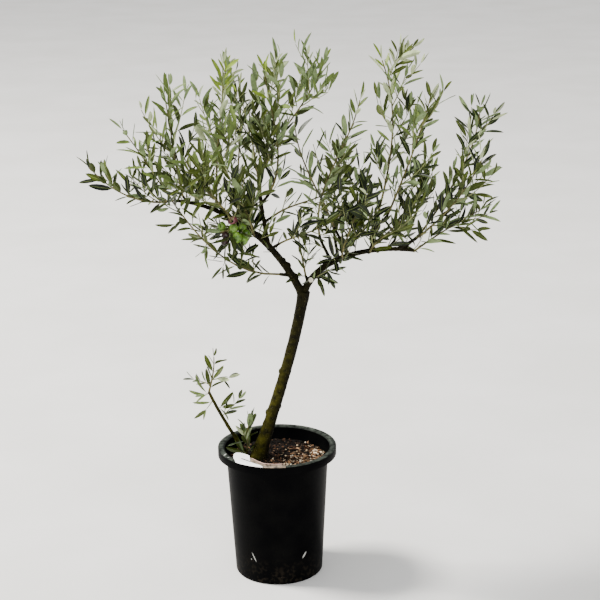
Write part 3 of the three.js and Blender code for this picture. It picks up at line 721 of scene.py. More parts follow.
MASSES = {
    "far_left": mass("left_bough", (190, 156, 73), 54, 2, 60, 7, bare=0.05, spread=30, leaves=-10),
    "low_left": mass("low_left_branch", (201, 302, 312), 55, 5, 110, 46, leaves=4, bare=0.04, low=0.25),
    "left_outer": mass("left_outer_spur", (215, 32, 195), 80, 4, 110, 5),
    "left_crest": mass("left_inner_spur", (64, 54, 245), 74, 4, 110, 8),
    "left_front": mass("left_front_spur", (228, 118, 141), 65, 5, 110, 5),
    "left_back": mass("left_back_spur", (88, 122, 175), 75, 5, 120, 12),
    "left_heart": mass("left_heart_spur", (215, 42, 123), 80, 5, 100, 19, bare=0.05),
    "left_middle": mass("left_middle_spur", (104, 84, 170), 80, 5, 110, 24),
    "left_top": mass("left_riser", (4, 126, 256), 72, 6, 110, 5, high=0.9),
    "left_peak": mass("left_peak_spur", (130, 14, 234), 80, 6, 110, 29),
    "inner_low": mass("inner_low_spur", (-22, 127, 68), 45, 5, 80, 45),
    "inner": mass("inner_spur", (22, 128, 40), 30, 3, 60, 47),
    "fruiting": mass("fruit_spur", (196, 46, -6), -30, 4, 60, 9, lift=-0.2),
    "fork": mass("fork_spur", (220, 18, 88), 80, 3, 50, 12, small=True),
    "middle_crest": mass("middle_riser", (-5, 80, 262), 78, 2, 60, 41, low=0.15, high=0.6),
    "whip": mass("whip_riser", (150, 84, 200), 88, 2, 60, 16, high=0.5),
    "right_leader": mass("right_riser", (20, 8, 296), 70, 6, 100, 40, leaves=74, arriving=170, high=0.92),
    "right_crest": mass("right_fork", (-18, 80, 225), 75, 5, 110, 16),
    "right_heart": mass("right_heart_spur", (30, 70, 104), 65, 6, 95, 23, bare=0.05),
    "right_inner": mass("right_inner_spur", (-6, 84, 96), 65, 6, 100, 29, bare=0.05),
    "right_outer": mass("right_outer_spur", (22, 126, 236), 86, 5, 110, 20),
    "right_side": mass("right_side_spur", (-20, 124, 160), 66, 5, 95, 7),
    "right_low": mass("right_bough", (-8, 124, 82), 30, 5, 75, 32, leaves=38, bare=0.05),
    "right_front": mass("right_front_spur", (-72, 96, 140), 70, 5, 110, 14, bare=0.05),
    "right_back": mass("right_back_spur", (80, 104, 140), 80, 5, 110, 35),
    "sucker_shoots": mass("sucker", (10, 12, 74), 92, 2, 30, 38, leaves=75, low=0.02, high=0.5, spread=75,
                          lift=-0.2, small=True),
    "small_sucker_shoots": mass("small_sucker", (20, 4, 46), 65, 2, 30, 3, small=True),
}
print(len(MASSES), "masses")

# %% [markdown]
# ## Directions and courses
# A limb or stem runs on one Bézier curve, so it leaves and arrives in the directions given. Random numbers
# come from one small generator, so that each seed always grows the same twigs.

# %% Lay out the courses
UP = np.array([0.0, 0.0, 1.0])
# How far a curve's handles reach, as a share of the way; the gap between a limb's tip and the stem on it.
PULL, GAP = 0.35, 0.3
ROOTED_DEPTH = 10
# The trunk's radius at shares of its length, and the room it takes, from its foot to the fork.
TRUNK_RADII = [(0, 17.5), (0.06, 14.8), (0.15, 12.6), (0.28, 11), (0.55, 10.2), (0.88, 10.2), (1, 11.6)]
TRUNK_ROOM = (14, 11.6)
TWIG = {"stem_radius": 2.6, "steps": 3, "room": 2.8, "turn": 2.4, "turn_varies": 0.4, "spread_varies": 9,
        "longest": 1.12, "shortens": 0.55, "lengths": (0.8, 1.2)}


def unit(vector):
    return vector / math.sqrt(vector @ vector)


def pointing(heading, slope):
    heading, slope = math.radians(heading), math.radians(slope)
    level = math.cos(slope)
    return np.array([math.cos(heading) * level, math.sin(heading) * level, math.sin(slope)])


def square_to(axis, turn):
    """A unit vector square to an axis, turned about it."""
    side = np.cross(axis, UP)
    side = unit(side) if side @ side > 0.01 else np.array([1.0, 0, 0])
    return side * math.cos(turn) + np.cross(side, axis) * math.sin(turn)


def leaning(axis, side, degrees):
    tilt = math.radians(degrees)
    return axis * math.cos(tilt) + side * math.sin(tilt)


def seeded(seed):
    state = seed

    def draw(low=0.0, high=1.0):
        nonlocal state
        state = (state + 0x6D2B79F5) & 0xFFFFFFFF
        mixed = ((state ^ (state >> 15)) * (state | 1)) & 0xFFFFFFFF
        mixed ^= (mixed + (((mixed ^ (mixed >> 7)) * (mixed | 61)) & 0xFFFFFFFF)) & 0xFFFFFFFF
        return low + (high - low) * (mixed ^ (mixed >> 14)) / 4294967296

    return draw


class Course:
    def __init__(self, start, leaving, tip, arriving):
        heading, reach, rise = tip
        end = start + pointing(heading, 0) * reach + UP * rise
        pull = math.dist(start, end) * PULL
        self.corners = [start, start + leaving * pull, end - arriving * pull, end]

    def point(self, t):
        a, b, c, d = self.corners
        return (1 - t) ** 3 * a + 3 * (1 - t) ** 2 * t * b + 3 * (1 - t) * t * t * c + t ** 3 * d

    def along(self, t):
        a, b, c, d = self.corners
        return unit((1 - t) ** 2 * (b - a) + 2 * (1 - t) * t * (c - b) + t * t * (d - c))

    def row(self, steps):
        return np.array([self.point(i / steps) for i in range(steps + 1)])

    def length(self):
        return sum(np.linalg.norm(np.diff(self.row(40), axis=0), axis=1))


def lay_limbs():
    courses = {}
    for name, plan in LIMBS.items():
        if plan["parent"]:
            start = courses[plan["parent"]].point(plan["at"])
        else:
            start = np.array([*plan["foot"], SOIL["top"] - ROOTED_DEPTH])
        leaves, arrives = plan["slopes"]
        heading = plan["tip"][0]
        courses[name] = Course(start, pointing(heading, leaves), plan["tip"], pointing(heading, arrives))
    return courses


def lay_stems(limbs):
    courses = {}
    for name, plan in MASSES.items():
        onward = limbs[plan["on"]].along(1)
        heading = plan["tip"][0]
        leaving = pointing(heading, plan["leaves"]) if "leaves" in plan else onward
        tilt = TWIG["stem_radius"] * math.sqrt(max(0, 1 - (leaving @ onward) ** 2))
        start = limbs[plan["on"]].point(1) + onward * (GAP + tilt)
        arriving = pointing(plan.get("arriving", heading), plan["arrives"])
        courses[name] = Course(start, leaving, plan["tip"], arriving)
    return courses


limb_courses = lay_limbs()
stem_courses = lay_stems(limb_courses)
every_course = {**limb_courses, **stem_courses}
print("trunk", round(limb_courses["trunk"].length()), "mm,",
      "highest stem tip", round(max(course.point(1)[2] for course in stem_courses.values())), "mm")

# %% [markdown]
# ## Trunk and boughs
# Olive bark is smooth while the tree is young, with a swelling at each old leaf pair, knots where shoots were
# rubbed off, and a flare where it meets the soil. A sculptor would start from an armature, and so does this:
# every limb is a curve with a round bevel and a radius at each point, knots are small balls, and a voxel
# remesh fuses them all into one skin. Then the points are moved along their normals for the bark's relief.

# %% Raise the armature
BARK = {"voxel": 1.25, "step": 7, "round": 5, "plump": 1.04, "skin": 0.35, "collar": 0.3, "collar_length": 10,
        "joint_spacing": 34, "joint_swell": 0.05, "knot_sunk": 0.45}
# A knot sits on a limb at a share of its length, turned about it, with its own radius.
KNOTS = [
    ("trunk", 0.54, 80, 7.2), ("trunk", 0.29, 95, 7.5), ("trunk", 0.34, 264, 5), ("trunk", 0.93, 140, 6),
    ("trunk", 0.72, 20, 4), ("trunk", 0.40, 30, 4), ("left_bough", 0.13, 80, 7.5),
    ("left_bough", 0.21, 84, 8), ("left_bough", 0.25, 60, 5), ("left_bough", 0.36, 250, 4),
    ("left_bough", 0.6, 60, 3.5), ("right_bough", 0.12, 200, 4.5), ("right_bough", 0.3, 80, 4),
    ("right_bough", 0.55, 260, 3.5),
]


def radius_of(name, share):
    if name == "trunk":
        shares, radii = zip(*TRUNK_RADII)
        return np.interp(share, shares, radii)
    base, tip = LIMBS[name]["radii"]
    return base + (tip - base) * share


def model_limb(name, course):
    length = course.length()
    steps = max(4, round(length / BARK["step"]))
    curve = bpy.data.curves.new(name, "CURVE")
    curve.dimensions = "3D"
    curve.bevel_depth = MM
    curve.bevel_resolution = BARK["round"]
    curve.use_fill_caps = True
    line = curve.splines.new("POLY")
    line.points.add(steps)
    for i, point in enumerate(line.points):
        share = i / steps
        travelled = share * length
        swell = BARK["collar"] * math.exp(-travelled / BARK["collar_length"]) if LIMBS[name]["parent"] else 0
        joint = math.cos(2 * math.pi * travelled / BARK["joint_spacing"]) ** 8
        point.co = (*(course.point(share) * MM), 1)
        fullness = BARK["plump"] + swell + BARK["joint_swell"] * joint
        point.radius = radius_of(name, share) * fullness + BARK["skin"]
    piece = link(name, curve)
    select_only(piece)
    bpy.ops.object.convert(target="MESH")
    return piece


def model_knot(name, share, turn, size):
    course = limb_courses[name]
    side = square_to(course.along(share), math.radians(turn))
    place = course.point(share) + side * (radius_of(name, share) - size * BARK["knot_sunk"])
    bpy.ops.mesh.primitive_uv_sphere_add(segments=16, ring_count=10, radius=size * MM, location=place * MM)
    ball = bpy.context.object
    bpy.ops.object.transform_apply()
    return ball


armature = [model_limb(name, course) for name, course in limb_courses.items()]
armature += [model_knot(*knot) for knot in KNOTS]
bark = joined(armature, "bark")
with_modifier(bark, "REMESH", mode="VOXEL", voxel_size=BARK["voxel"] * MM, use_smooth_shade=True)
with_modifier(bark, "SMOOTH", factor=0.5, iterations=5)
print("skin of", len(bark.data.vertices), "points")

# %% [markdown]
# The relief has two scales: long shallow furrows that follow the trunk, and small pale bumps, the pores
# through which bark breathes. At the soil three ridges run out as the flare of the roots. All of it is real
# shape, worked out for each point from its place.

# %% Carve the relief
RELIEF = {"furrow": 0.42, "furrow_size": 5.5, "drawn_out": 4,
          "pore": 0.7, "pore_size": 2.2, "pore_flat": 1.4, "pore_layer": 40, "pore_above": 0.25}
FLARE = {"ridges": 3, "rise": 2.6, "turned": 0.8, "swing": 0.5, "over": 0.2, "fade": 26, "reach": 26,
         "height": 80}


def relief_at(point):
    x, y, z = point
    size = RELIEF["furrow_size"]
    furrow = noise.noise(Vector((x / size, y / size, z / size / RELIEF["drawn_out"])))
    size = RELIEF["pore_size"]
    above = noise.noise(Vector((x / size, y / size, z / size * RELIEF["pore_flat"] + RELIEF["pore_layer"])))
    rise = RELIEF["furrow"] * furrow + RELIEF["pore"] * max(0, above - RELIEF["pore_above"])
    above_soil = z - SOIL["top"]
    if math.dist((x, y), TRUNK_FOOT) < FLARE["reach"] and above_soil < FLARE["height"]:
        turn = math.atan2(y - TRUNK_FOOT[1], x - TRUNK_FOOT[0])
        fade = math.exp(-max(0, above_soil) / FLARE["fade"])
        ridge = math.cos(FLARE["ridges"] * turn + FLARE["turned"]) * FLARE["swing"] + FLARE["over"]
        rise += FLARE["rise"] * ridge * fade
    return rise


skin = points_of(bark)
normals = np.array([vertex.normal for vertex in bark.data.vertices])
move_points(bark, skin + normals * np.array([relief_at(point) for point in skin])[:, None])
smooth(bark, 60)
dress(bark, "bark", *LIMBS)

# %% [markdown]
# Young olive bark is brown with a film of green algae, thickest low down. Faces turned to the left, towards
# the light, are painted in the lighter green as painted light, and faces turned away in the dark brown as
# painted shade, so the surface's own direction and height choose between the two. The suckers, on the far
# left of the trunk, are young and green all round. The pores show as pale flecks, wider than they are tall.

# %% Finish the bark
# The side the painted light falls on: left, a little forward and up.
LIGHT_SIDE = (-0.87, -0.42, 0.25)

bark_finish, tree, shader, where = new_material("olive_bark")
green_lit_bark = mottled(tree, where, (19, 18, 2), (60, 57, 9), 75)
brown_shaded_bark = mottled(tree, where, (4, 3, 1), (17, 14, 5), 90)
facing = put(tree, "NewGeometry")["Normal"]
# Painted light and shade: faces turned that way take the lighter green, and faces turned away the dark brown.
lit_side = put(tree, "VectorMath", {0: facing, 1: LIGHT_SIDE}, operation="DOT_PRODUCT")["Value"]
place = put(tree, "SeparateXYZ", {0: where})
young = ramp(tree, place["X"], -0.07, -0.08)
lit_or_young = maths(tree, "MAXIMUM", ramp(tree, lit_side, -0.35, 0.55), young)
green_share = maths(tree, "MULTIPLY", lit_or_young, ramp(tree, place["Z"], 0.55, 0.37, low=0.15))
stem = two_tones(tree, green_share, brown_shaded_bark, green_lit_bark)
squashed = put(tree, "Mapping", {"Vector": where, "Scale": (1, 1, 2.6)})[0]
pores = use(tree, MOTTLE, Vector=squashed, Scale=330, Low=0.62, High=0.7)["Mask"]
flecked = two_tones(tree, maths(tree, "MULTIPLY", pores, 0.45), stem, colour(112, 106, 66))
finish_with(tree, shader, where, flecked, (900, 0.5, 0.6, 0.85), specular=0.06)
paint(bark, bark_finish)
print("bark:", bark_finish.name)

# %% [markdown]
# ## Pruning cuts
# Where a branch was taken off, the cut shows as a disc of bare wood in a collar of bark: pale at the fork,
# where it is fresh, and dark on the sucker, where it is old. It is a cylinder seen end on, whose face is
# inset and sunk a little, ring by ring, as wood dries in its middle.

# %% Cut faces
CUTS = {
    "fork_cut": {"limb": "pruned_stub", "radius": 4.7, "tone": (232, 226, 204)},
    "sucker_cut": {"limb": "sucker", "radius": 3.2, "tone": (34, 28, 22)},
}
CUT = {"thick": 3, "proud": 0.2, "rings": 3, "ring_share": 0.22, "ring_sunk": 0.12, "bevel": 0.5}


def model_cut(name, radius):
    bpy.ops.mesh.primitive_cylinder_add(vertices=28, radius=radius * MM, depth=CUT["thick"] * MM)
    cut = just_made(name)
    edit(cut, "DESELECT")
    leave_edit()
    for face in cut.data.polygons:
        face.select = face.normal.z > 0.9
    bpy.ops.object.mode_set(mode="EDIT")
    for _ in range(CUT["rings"]):
        bpy.ops.mesh.inset(thickness=radius * CUT["ring_share"] * MM, depth=-CUT["ring_sunk"] * MM)
    leave_edit()
    return cut


for name, plan in CUTS.items():
    cut = model_cut(name, plan["radius"])
    course = limb_courses[plan["limb"]]
    onward = Vector(course.along(1))
    place = Vector(course.point(1) * MM) + onward * CUT["proud"] * MM
    cut.data.transform(Matrix.Translation(place) @ onward.to_track_quat("Z", "Y").to_matrix().to_4x4())
    with_modifier(cut, "BEVEL", width=CUT["bevel"] * MM, segments=2, limit_method="ANGLE")
    smooth(cut, 50)
    tone = plan["tone"]
    paint(cut, plain_finish(name + "_wood", shaded(tone, 0.86), tone, 300, (1500, 0.2, 0.7, 0.9)))
    dress(cut, "bark", plan["limb"])

# %% [markdown]
# ## Room to grow
# Each mass keeps to its own space: a point belongs to it where its own stem is nearer than any other stem,
# and where no limb is close. Stems and limbs are cut into short straight rods once, so that the distance
# from a point to all of them is a single sum over arrays.

# %% Room
ROD_STEPS = 8


def rod_radii(name):
    """How thick a limb is at its base and at its tip. A stem counts as a line."""
    if name == "trunk":
        return TRUNK_ROOM
    return LIMBS[name]["radii"] if name in LIMBS else (0, 0)


class Rods:
    def __init__(self):
        rows = np.array([course.row(ROD_STEPS) for course in every_course.values()])
        self.starts = rows[:, :-1].reshape(-1, 3)
        self.runs = rows[:, 1:].reshape(-1, 3) - self.starts
        self.squares = (self.runs ** 2).sum(1)
        base, tip = np.array([rod_radii(name) for name in every_course]).T[:, :, None]
        self.radii = (base + (tip - base) * np.arange(ROD_STEPS) / ROD_STEPS).ravel()
        self.owners = np.repeat(list(every_course), ROD_STEPS)
        self.is_limb = np.repeat([name in LIMBS for name in every_course], ROD_STEPS)

    def room(self, point, owner, margin):
        away = point - self.starts
        shares = np.clip((away * self.runs).sum(1) / self.squares, 0, 1)
        distances = np.sqrt(((away - self.runs * shares[:, None]) ** 2).sum(1))
        if (distances - self.radii)[self.is_limb].min() < margin:
            return False
        own = self.owners == owner
        return distances[own].min() < distances[~own & ~self.is_limb].min() - margin


rods = Rods()
print(len(rods.radii), "rods")

# %% [markdown]
# ## Twigs
# From a stem come shoots, each turned on from the last by the golden angle and bending up towards the light,
# and a shoot stops where its mass has no room. That is the solids' rule. Here most shoots also bear finer
# side twigs, grown the same way, and the old wood bears short twigs of its own. A few listed sprouts come
# straight from a limb or a stem.

# %% The numbers for the twigs
RADII = {"stem": (2.3, 1.1), "shoot": (1.25, 0.7), "side": (0.85, 0.55), "sprout": (1.1, 0.6)}
STEM = {"sunk": 4, "steps": 14}
SHOOT = {"bare": 9, "seeds": 97}
SIDE_TWIG = {"span": (0.15, 0.85), "spacing": 29, "varies": (0.2, 0.8), "lengths": (28, 52),
             "spread": (36, 58), "upwards": False, "lift": 0.5, "steps": 2, "room": 2, "bare": 5, "seeds": 61,
             "leaf_seeds": 7}
# These masses stay open, with sky between single shoots, and bear no side twigs.
OPEN_MASSES = ("whip", "middle_crest", "right_crest", "right_outer", "right_side", "right_back", "left_outer",
               "far_left", "low_left", "fork", "sucker_shoots", "small_sucker_shoots")
# Old wood bears short twigs too: on these limbs, from a share of their length on, and mostly upwards.
LIMB_TWIG = {"spacing": 20, "varies": (0.1, 0.9), "lengths": (26, 58), "spread": (40, 75), "upwards": True,
             "lift": 1.1, "steps": 3, "room": 0, "bare": 10, "seed": 300, "leaf_seed": 5000, "leaf_seeds": 10}
TWIGS_FROM = {"left_bough": 0.38, "right_bough": 0.45, "left_outer_spur": 0.2, "left_heart_spur": 0.2,
              "left_front_spur": 0.4, "left_back_spur": 0.3, "left_inner_spur": 0.3, "right_front_spur": 0.4,
              "right_heart_spur": 0.3, "left_middle_spur": 0.3, "left_peak_spur": 0.3, "right_back_spur": 0.4}
# A sprout leaves a limb or a stem at a share of its length. Then come its heading, its slope, its length and
# its pairs of leaves.
SPROUT = {"lift": 0.06, "steps": 3, "bare": 5, "leaf_seed": 900}
SPROUTS = [
    ("fork_spur", 1, 195, -8, 8, 1), ("right_bough", 0.16, -25, 30, 80, 4),
    ("right_bough", 0.24, -70, -50, 10, 1), ("right_bough", 0.32, -60, -30, 10, 1),
    ("right_bough", 0.42, -100, 20, 40, 2), ("left_bough", 0.3, 120, 40, 44, 2),
    ("left_bough", 0.44, 300, 20, 40, 2), ("low_left", 0.28, 230, -55, 14, 1),
    ("low_left", 0.4, 230, -55, 14, 1), ("low_left", 0.55, 200, -30, 20, 1),
    ("low_left", 0.12, 100, 40, 36, 2), ("low_left", 0.2, 60, 55, 44, 2),
    ("low_left", 0.26, 20, 50, 30, 2), ("left_riser", 0.3, 20, 30, 36, 2),
    ("left_outer", 0.15, 185, 40, 60, 4), ("left_outer", 0.3, 190, 50, 60, 4),
    ("left_outer", 0.5, 200, 45, 55, 4), ("far_left", 0.3, 100, 60, 60, 4), ("far_left", 0.5, 60, 60, 50, 3),
    ("left_bough", 0.85, 220, 60, 50, 3), ("left_bough", 0.5, 200, 60, 26, 2),
    ("left_bough", 0.55, 250, 50, 30, 2), ("left_bough", 0.48, 160, 70, 30, 2),
    ("fruiting", 0.15, 280, -55, 22, 2), ("fruiting", 0.4, 230, -60, 24, 2),
    ("fruiting", 0.75, 180, -10, 24, 1), ("fruiting", 0.5, 210, -62, 30, 2),
    ("fruiting", 0.9, 150, 50, 20, 1), ("right_riser", 0.3, 200, 35, 40, 2),
    ("middle_riser", 0.5, 190, 30, 34, 2), ("whip_riser", 0.6, 20, 25, 36, 2),
    ("sucker", 0.66, 355, 44, 50, 3), ("sucker", 0.99, 178, -8, 9, 1),
    ("sucker", 0.9, 200, -52, 22, 1), ("sucker", 0.78, 330, 20, 9, 1),
    ("small_sucker", 0.45, 200, 35, 9, 1), ("small_sucker", 0.7, 330, 30, 8, 1),
]
# Each straight step of a twig is drawn as so many short ones, so that it bends smoothly.
ROUNDING = 3
print(len(SPROUTS), "sprouts, and twigs on", len(TWIGS_FROM), "limbs")

# %% [markdown]
# A twig climbs from its foot in a few straight steps. They are then drawn as one smooth line, and any place
# on it is found by its distance from the foot.

# %% Rows of points
def climb(start, heading, length, steps, lift, owner=None, margin=0):
    """A twig's row of points: it bends up a little at each step and stops where its owner has no room."""
    row = [start]
    for _ in range(steps):
        heading = unit(heading + UP * lift / steps)
        ahead = row[-1] + heading * length / steps
        if owner and not rods.room(ahead, owner, margin):
            break
        row.append(ahead)
    return row


def rounded(row, steps=ROUNDING):
    """The same row drawn as a smooth line through its points."""
    row = np.array(row)
    padded = np.concatenate([[2 * row[0] - row[1]], row, [2 * row[-1] - row[-2]]])
    line = []
    for i in range(len(row) - 1):
        a, b, c, d = padded[i:i + 4]
        for t in np.arange(steps) / steps:
            line.append(0.5 * (2 * b + (c - a) * t + (2 * a - 5 * b + 4 * c - d) * t ** 2
                               + (3 * b - a - 3 * c + d) * t ** 3))
    return np.array([*line, row[-1]])


def steps_of(row):
    return np.linalg.norm(np.diff(row, axis=0), axis=1)


def locate(row, distance):
    """The point at a distance along a row, and the direction there."""
    lengths = steps_of(row)
    before = np.concatenate([[0], np.cumsum(lengths)])
    i = min(len(lengths) - 1, max(0, int(np.searchsorted(before, distance, side="right")) - 1))
    axis = (row[i + 1] - row[i]) / lengths[i]
    return row[i] + axis * (distance - before[i]), axis


# %% Grow the twigs
def grow_shoots(name, plan, stem):
    draw = seeded(plan["seed"])
    first_turn = draw(0, math.pi)
    varies, spread_varies = TWIG["turn_varies"], TWIG["spread_varies"]
    shoots = []
    for i in range(plan["shoots"]):
        at = plan["low"] + (plan["high"] - plan["low"]) * (i + 0.5 + draw(-varies, varies)) / plan["shoots"]
        axis = stem.along(at)
        side = square_to(axis, first_turn + TWIG["turn"] * i + draw(-varies, varies))
        heading = leaning(axis, side, plan["spread"] + draw(-spread_varies, spread_varies))
        length = plan["length"] * (TWIG["longest"] - TWIG["shortens"] * at) * draw(*TWIG["lengths"])
        shoots.append(climb(stem.point(at), heading, length, TWIG["steps"], plan["lift"], name, TWIG["room"]))
    return [rounded(row) for row in shoots if len(row) > 1]


def grow_fine_twigs(plan, seed, span, length, place, owner=None):
    """Twigs over a span of a shoot or a limb. Place gives the point and the direction at a share of it."""
    draw = seeded(seed)
    first, last = span
    count = round(length * (last - first) / plan["spacing"])
    rows = []
    for i in range(count):
        start, axis = place(first + (last - first) * (i + draw(*plan["varies"])) / count)
        side = square_to(axis, draw(0, 2 * math.pi))
        if plan["upwards"]:
            side[2] = abs(side[2])
        heading = leaning(axis, side, draw(*plan["spread"]))
        reach = draw(*plan["lengths"])
        rows.append(climb(start, heading, reach, plan["steps"], plan["lift"], owner, plan["room"]))
    return [rounded(row) for row in rows if len(row) > 1]


def grow_side_twigs(name, shoot, seed):
    length = steps_of(shoot).sum()
    return grow_fine_twigs(SIDE_TWIG, seed, SIDE_TWIG["span"], length,
                           lambda share: locate(shoot, share * length), name)


def grow_limb_twigs(name):
    course, seed = limb_courses[name], LIMB_TWIG["seed"] + sum(map(ord, name))
    return grow_fine_twigs(LIMB_TWIG, seed, (TWIGS_FROM[name], 1), course.length(),
                           lambda share: (course.point(share), course.along(share)))


def grow_sprout(parent, at, heading, slope, length):
    row = [every_course[parent].point(at)]
    direction = pointing(heading, slope)
    for _ in range(SPROUT["steps"]):
        row.append(row[-1] + direction * length / SPROUT["steps"])
        direction = unit(direction + UP * SPROUT["lift"])
    return rounded(row)


# %% [markdown]
# The masses are grown first, then the short twigs on old wood, then the sprouts. Each twig keeps a seed of
# its own, from which its leaves are drawn later.

# %% Gather the twigs
def new_twig(owner, kind, row, bare, seed, pairs=None):
    """A twig as its leaves need to know it: how far it is bare, and its number of pairs where that is set."""
    return {"owner": owner, "kind": kind, "row": row, "bare": bare, "seed": seed, "pairs": pairs}


def grow_mass(name, plan):
    """The stem of a mass, its shoots and their side twigs."""
    stem = stem_courses[name]
    row = np.concatenate([[stem.point(0) - stem.along(0) * STEM["sunk"]], stem.row(STEM["steps"])])
    grown = [new_twig(name, "stem", row, plan["bare"] * stem.length() + STEM["sunk"], plan["seed"])]
    for i, shoot in enumerate(grow_shoots(name, plan, stem)):
        seed = plan["seed"] * SHOOT["seeds"] + i + 1
        grown.append(new_twig(name, "shoot", shoot, SHOOT["bare"], seed))
        if name not in OPEN_MASSES:
            sides = grow_side_twigs(name, shoot, plan["seed"] * SIDE_TWIG["seeds"] + i)
            grown += [new_twig(name, "side", side, SIDE_TWIG["bare"], seed * SIDE_TWIG["leaf_seeds"] + j)
                      for j, side in enumerate(sides)]
    return grown


twigs = []
for name, plan in MASSES.items():
    twigs += grow_mass(name, plan)
for name in TWIGS_FROM:
    for row in grow_limb_twigs(name):
        seed = LIMB_TWIG["leaf_seed"] + LIMB_TWIG["leaf_seeds"] * len(twigs)
        twigs.append(new_twig(name, "sprout", row, LIMB_TWIG["bare"], seed))
for seed, (parent, *way, pairs) in enumerate(SPROUTS, start=SPROUT["leaf_seed"]):
    twigs.append(new_twig(parent, "sprout", grow_sprout(parent, *way), SPROUT["bare"], seed, pairs))
print({kind: sum(twig["kind"] == kind for twig in twigs) for kind in RADII})

# %% [markdown]
# A twig is a tube of six sides along its row, with its rings carried on without a twist and both ends
# closed. All the twigs of one side of the crown are worked out as arrays and become one mesh: brown wood
# for the stems, and a fresh grey green for the shoots of this year.

# %% Make the twigs
SIDES = 6


def frames_along(row):
    side = None
    frames = []
    for i in range(len(row)):
        axis = unit(row[min(i + 1, len(row) - 1)] - row[max(i - 1, 0)])
        side = square_to(axis, 0) if side is None else unit(side - axis * (side @ axis))
        frames.append((side, np.cross(axis, side)))
    return frames


def tube(row, radii):
    """A closed tube: its points, its faces, and a cap at either end."""
    turns = np.arange(SIDES) * 2 * math.pi / SIDES
    rings = []
    for (side, across), point, share in zip(frames_along(row), row, np.linspace(0, 1, len(row))):
        radius = radii[0] + (radii[1] - radii[0]) * share
        rings.append(point + radius * (np.outer(np.cos(turns), side) + np.outer(np.sin(turns), across)))
    points = np.concatenate(rings)
    faces = [tuple(range(SIDES - 1, -1, -1)), tuple(range(len(points) - SIDES, len(points)))]
    for ring in range(len(row) - 1):
        for k in range(SIDES):
            here, there = ring * SIDES + k, ring * SIDES + (k + 1) % SIDES
            faces.append((here, there, there + SIDES, here + SIDES))
    return points, faces


def part_of(name):
    """Which part of the tree a limb or mass belongs to."""
    while name:
        if name in ("left_bough", "right_bough"):
            return name.removesuffix("_bough")
        name = MASSES[name]["on"] if name in MASSES else LIMBS[name]["parent"]
    return "foot"


TWIG_TONES = {"twig_wood": ((52, 48, 23), (116, 110, 66)), "green_shoot": ((88, 92, 52), (140, 144, 98))}
TWIG_FINISHES = {name: plain_finish(name, *tones, 110, (1200, 0.3, 0.55, 0.8), specular=0.2)
                 for name, tones in TWIG_TONES.items()}
PARTS = ("left", "right", "foot")
nodes_of = {part: [f"foliage_{name}" for name in MASSES if part_of(name) == part] for part in PARTS}
for part in PARTS:
    own = [twig for twig in twigs if part_of(twig["owner"]) == part]
    tubes = [tube(twig["row"], RADII[twig["kind"]]) for twig in own]
    is_green = [int(twig["kind"] != "stem") for twig, (_, faces) in zip(own, tubes) for _ in faces]
    piece = mesh_piece(f"twigs_{part}", *merged(tubes))
    paint(piece, *TWIG_FINISHES.values(), of_face=is_green)
    smooth(piece, 50)
    dress(piece, "bark", *nodes_of[part])

# %% [markdown]
# ## Leaves
# Olive leaves stand in pairs, each pair turned a quarter from the last. They are narrow and leathery, dark or
# yellowish green above and grey green below, folded a little along a pale rib. One leaf is drawn as rows
# across the blade: edge, two sides of the rib, edge, and a keel below, so that it is a thin closed body. Its
# places along the twigs follow the solids' rule, and all leaves are bent, folded and sized at once as arrays.

# %% Place the leaves
LEAF = {"size": 45, "small": 37, "width": 0.215, "broad": 1.2, "internode": 15, "skipped": 0.08, "room": 0.9,
        "spread": (34, 66), "last_spread": (12, 36), "turn_varies": 0.3, "lift": (-0.05, 0.35),
        "sprout_lift": 0.2, "lengths": (0.62, 1.2), "last_share": 0.78, "widths": (0.75, 1.25),
        "lean": (0.2, 1.1), "broadest": 0.45}


def place_leaves(twig):
    """Each leaf's foot, its direction, the way its face looks, its length and its width."""
    draw = seeded(twig["seed"])
    row, name, is_sprout = twig["row"], twig["owner"], twig["kind"] == "sprout"
    usual = LEAF["small"] if name in MASSES and MASSES[name]["small"] else LEAF["size"]
    total = steps_of(row).sum()
    count = twig["pairs"] or max(1, round((total - twig["bare"]) / LEAF["internode"]))
    first_turn = draw(0, math.pi)
    placed = []
    for k in range(count + 1):
        is_last = k == count
        point, axis = locate(row, min(twig["bare"] + (total - twig["bare"]) * k / count, total - 0.01))
        for side in (0, 1):
            varies = draw(-LEAF["turn_varies"], LEAF["turn_varies"])
            turn = first_turn + k * math.pi / 2 + side * math.pi + varies
            spread = draw(*LEAF["last_spread" if is_last else "spread"])
            lift = draw(*LEAF["lift"]) * (LEAF["sprout_lift"] if is_sprout else 1)
            length = usual * draw(*LEAF["lengths"]) * (LEAF["last_share"] if is_last else 1)
            width = length * LEAF["width"] * draw(*LEAF["widths"])
            width *= LEAF["broad"] if part_of(name) == "foot" else 1
            leans, lean = draw(0, 2 * math.pi), draw(*LEAF["lean"])
            if draw() < LEAF["skipped"] and not is_last:
                continue
            along = unit(leaning(axis, square_to(axis, turn), spread) + UP * lift)
            face = unit(axis - along * (axis @ along))
            face = face + square_to(along, leans) * lean
            face = unit(face - along * (face @ along))
            half = np.cross(along, face) * width / 2
            broadest = point + along * length * LEAF["broadest"]
            corners = (point + along * length, broadest + half, broadest - half)
            if is_sprout or all(rods.room(corner, name, LEAF["room"]) for corner in corners):
                placed.append((point, along, face, length, width))
    return placed


leaves = {part: [] for part in PARTS}
for twig in twigs:
    leaves[part_of(twig["owner"])] += [(*leaf, twig["seed"]) for leaf in place_leaves(twig)]
print({part: len(placed) for part, placed in leaves.items()}, "leaves")

# %% [markdown]
# The tones are dealt out by spray: all leaves of one twig share a green. Higher twigs are more often
# yellowish or grey and lower ones darker, as painted light and painted shade over the crown's height. Every
# tone is its own plain finish with fine grain, so that no colour depends on a picture or a grid.

